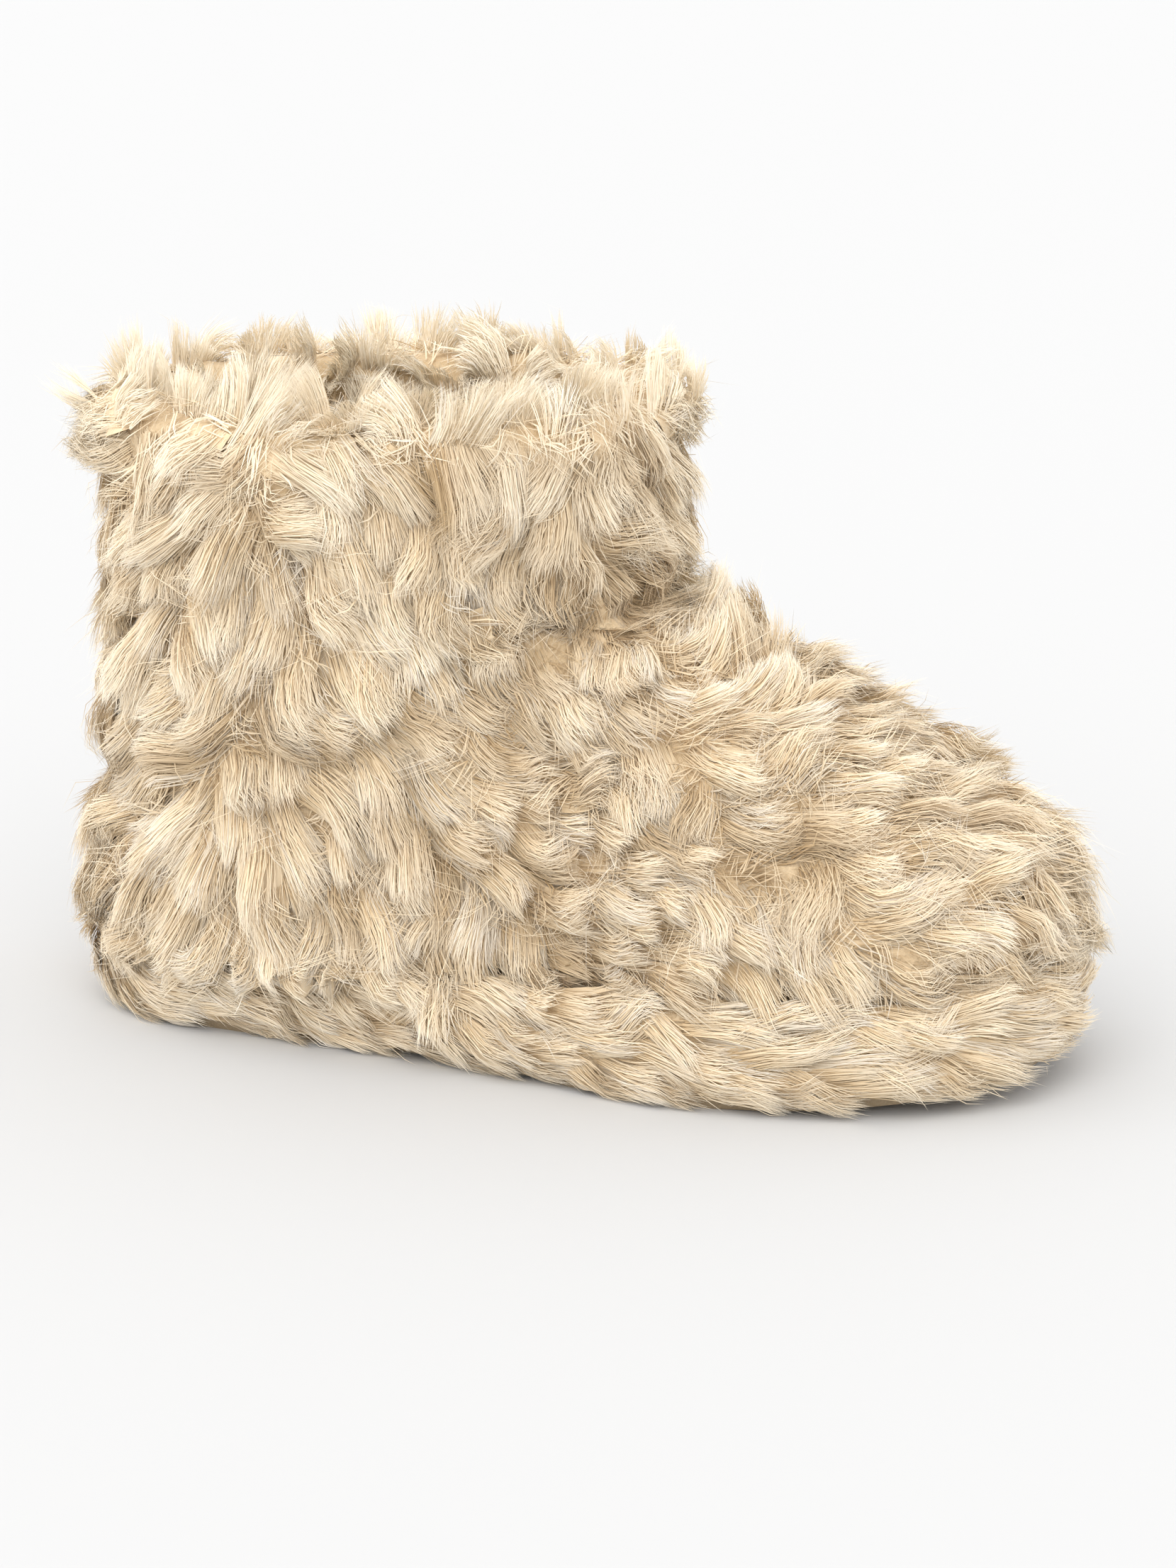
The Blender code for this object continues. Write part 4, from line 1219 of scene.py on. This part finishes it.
BODY_PILE = {
    "standing": False,  # guides stand away from the skin
    "bodies": True,  # solid bodies in the tufts
    # Paler roots towards the collar and most on its rim: painted light for the bright rim
    "pale": lambda p: 0.08 * near_collar(p) + 0.42 * on_rim(p),  # how pale the roots are
    "thick": 1,  # how thickly it is sown
    "spacing": lambda p: 0.0105 - 0.0015 * on_foot(p),  # between tufts
    "tries": 16000,
    "length": lambda p: 0.0185 - 0.004 * on_foot(p),
    "wander": 0.27,  # a tuft's turn from the pile's lie
    "bend": 0.2,  # and along its run
    "swirl": 0.2,  # share of the slow swirls
    "flare": lambda p: 0.0018 + 0.001 * on_foot(p),  # tips stand out by chance
    "lift": lambda p: 0.1 + 0.22 * on_foot(p),  # and where the pile points outwards
    "high": lambda p: 0.0068 + added(p, RISES),  # a tuft's height
    "reach": 0.72,  # a body's end, of its tuft's length
    "broad": 0.8,  # and its width
    "under": 0,  # share of strands under a tuft
    "strands": 96000,
    "wisp": 12,  # strands in a wisp
    "uneven": 0.09,  # wisps' lengths
    "gather": 0.8,  # how far the tips end together
    "fan": 0.45,  # and spread
    "drift": 0.0006,  # wisps go sideways
    "rising": 0.0006,  # and up
    "loft": 0.0007,
    "stations": (0, 0.38, 0.72, 1),  # points along a strand
    "clump": 0.12,  # wisps close at the tip
    "stray": 0.0009,
    "loose": 0.04,  # share that strays far
    "frizz": 0.0004,  # how wide strands wave
    "curl": 5.0,  # and how often
    "roll": 0.36,  # about their own line
    "soften": 1.2,  # share of the tuft's rounding in their shading
    "width": 0.00024,
    # Paler on the collar's rim: painted light for the bright rim
    "tone": lambda p: 0.87 - 0.01 * near_collar(p) + 0.09 * on_rim(p),
    "tuft_shade": 0.05,
    "wisp_shade": 0.02,
    "grey": lambda p: 0.12 - 0.08 * near_collar(p),
}
COLLAR_PILE = BODY_PILE | {
    "standing": True,
    "bodies": False,
    # Paler roots on the collar's standing pile: painted light for the bright rim
    "pale": 0.75,
    "spacing": 0.0122,
    "wander": 0.32,
    "bend": 0.5,
    "uneven": 0.14,
    "flare": 0,
    "lift": 0,
    "length": lambda p: 0.0136 - 0.0036 * ramped(p[:, 1], -0.015, 0.015),
    "high": 0.0042,
    "under": 0.35,
    "strands": 38000,
    "gather": 0.45,
    "fan": 0.7,
    "roll": 1.2,
    "soften": 0.0,
    # Paler tone on the collar: painted light for the bright rim
    "tone": 0.95,
    "tuft_shade": 0.03,
    "grey": 0.05,
}
BAND_PILE = BODY_PILE | {
    "thick": lambda p: 1 + 1.2 * (1 - ramped(p[:, 2], 0.004, 0.012)),
    "spacing": 0.008,
    "tries": 5000,
    "length": 0.0165,
    "wander": 0.28,
    "flare": 0.0009,
    "soften": 1.3,
    "roll": 0.3,
    "loft": 0.0006,
    "wisp_shade": 0.01,
    "clump": 0.4,
    "high": lambda p: 0.0014 + 0.003 * ramped(p[:, 2], 0.002, 0.014),
    "strands": 23000,
    "reach": 0.6,
    "broad": 0.6,
    "gather": 0.5,
    "tone": 0.88,
    "tuft_shade": 0.02,
}
FUZZ = BODY_PILE | {
    "bodies": False,
    "pale": 0.4,
    "roll": 1.2,
    "soften": 0.0,
    "spacing": 0.0075,
    "length": 0.015,
    "wander": 0.8,
    "high": 0.0075,
    "strands": 9000,
    "stations": (0, 0.6, 1),
    "wisp": 2,
    "gather": 0.1,
    "clump": 0.2,
    "stray": 0.003,
    "loft": 0.003,
    "frizz": 0.0012,
    "width": 0.00014,
    # Paler towards the collar: painted light for the bright rim
    "tone": lambda p: 0.9 + 0.06 * near_collar(p),
}
UNDERCOAT = BODY_PILE | {
    "bodies": False,
    "spacing": 0.006,
    "length": 0.0085,
    "wander": 0.9,
    "high": 0.0034,
    "strands": 17000,
    "stations": (0, 0.6, 1),
    "wisp": 4,
    "gather": 0.1,
    "stray": 0.002,
    "loft": 0.002,
    "width": 0.00036,
    # Paler towards the collar: painted light for the bright rim
    "tone": lambda p: 0.66 + 0.2 * near_collar(p),
}


def make_fur():
    """The skins, the lining and the pile, which take the place of the upper and the band."""
    rng = np.random.default_rng(SEED)
    underfur = grained_material("underfur", *UNDERFUR_LOOK)
    plush = grained_material("lining_plush", *PLUSH_LOOK)
    dress("insole", grained_material("footbed_plush", *FOOTBED_LOOK))
    dress("outsole", grained_material("sole_rubber", *RUBBER_LOOK))
    upper_tree = tree_of(nodes["upper"])
    outside = upper_grid()
    collar = swept(((1.0, 0.0), *COLLAR_ROLL), 0.25, COLLAR_RINGS, collar_ring)
    whole = np.array(outside + collar)
    depth = np.full(len(whole), SKIN_DEPTH)
    depth[len(outside) :] = np.linspace(SKIN_DEPTH, LIP_DEPTH, len(collar))
    whole = laid_on(whole, upper_tree, depth[:, None])
    lining = laid_on(np.array([collar[-1]] + lining_grid()), upper_tree, LINING_DEPTH)
    inside = np.concatenate([whole[len(outside) :], lining[1 : 1 + LINING_FUR]])
    band = np.array(swept(BAND_SIDE, 0, BAND_RINGS, band_ring))
    band = laid_on(band, tree_of(nodes["fur_band"]), SKIN_DEPTH)
    points = np.concatenate([whole.reshape(-1, 3), band.reshape(-1, 3)])
    faces = grid_faces(*band.shape[:2]) + whole.shape[0] * whole.shape[1]
    faces = np.concatenate([grid_faces(*whole.shape[:2]), faces])
    ground = BVHTree.FromPolygons(points.tolist(), faces.tolist())
    upper_piece = grid_object("upper_skin", whole, underfur)
    band_piece = grid_object("band_skin", band, underfur)
    grid_object("lining", lining, plush)
    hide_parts("upper")
    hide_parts("fur_band")

    fur = pile_material("cream_pile", WARM, COOL)
    grown = (
        ("upper", Skin(whole[: len(outside) + ROLL_RINGS], pile_lie, ground), BODY_PILE, 3),
        ("collar", Skin(inside, pile_lie, ground), COLLAR_PILE, 1),
        ("band", Skin(band, band_lie, ground), BAND_PILE, 1),
        ("under", Skin(whole, pile_lie, ground), UNDERCOAT, 1),
        ("fuzz", Skin(whole, pile_lie, ground), FUZZ, 1),
    )
    for name, skin, kind, pieces in grown:
        line, up, soft, u, pale, place, tufts, shades = grow_pile(skin, kind, rng)
        if kind["bodies"]:
            tuft_bodies(f"{name}_tufts", tufts, shades, kind, fur)
        order = np.argsort(place, kind="stable")
        for k, part in enumerate(np.array_split(order, pieces)):
            piece = f"{name}_fur_{k + 1}" if pieces > 1 else f"{name}_fur"
            strands = [row[part] for row in (line, up, soft, u, pale)]
            ribbons(piece, *strands, kind, fur, rng)


make_camera()
make_studio()
make_fur()
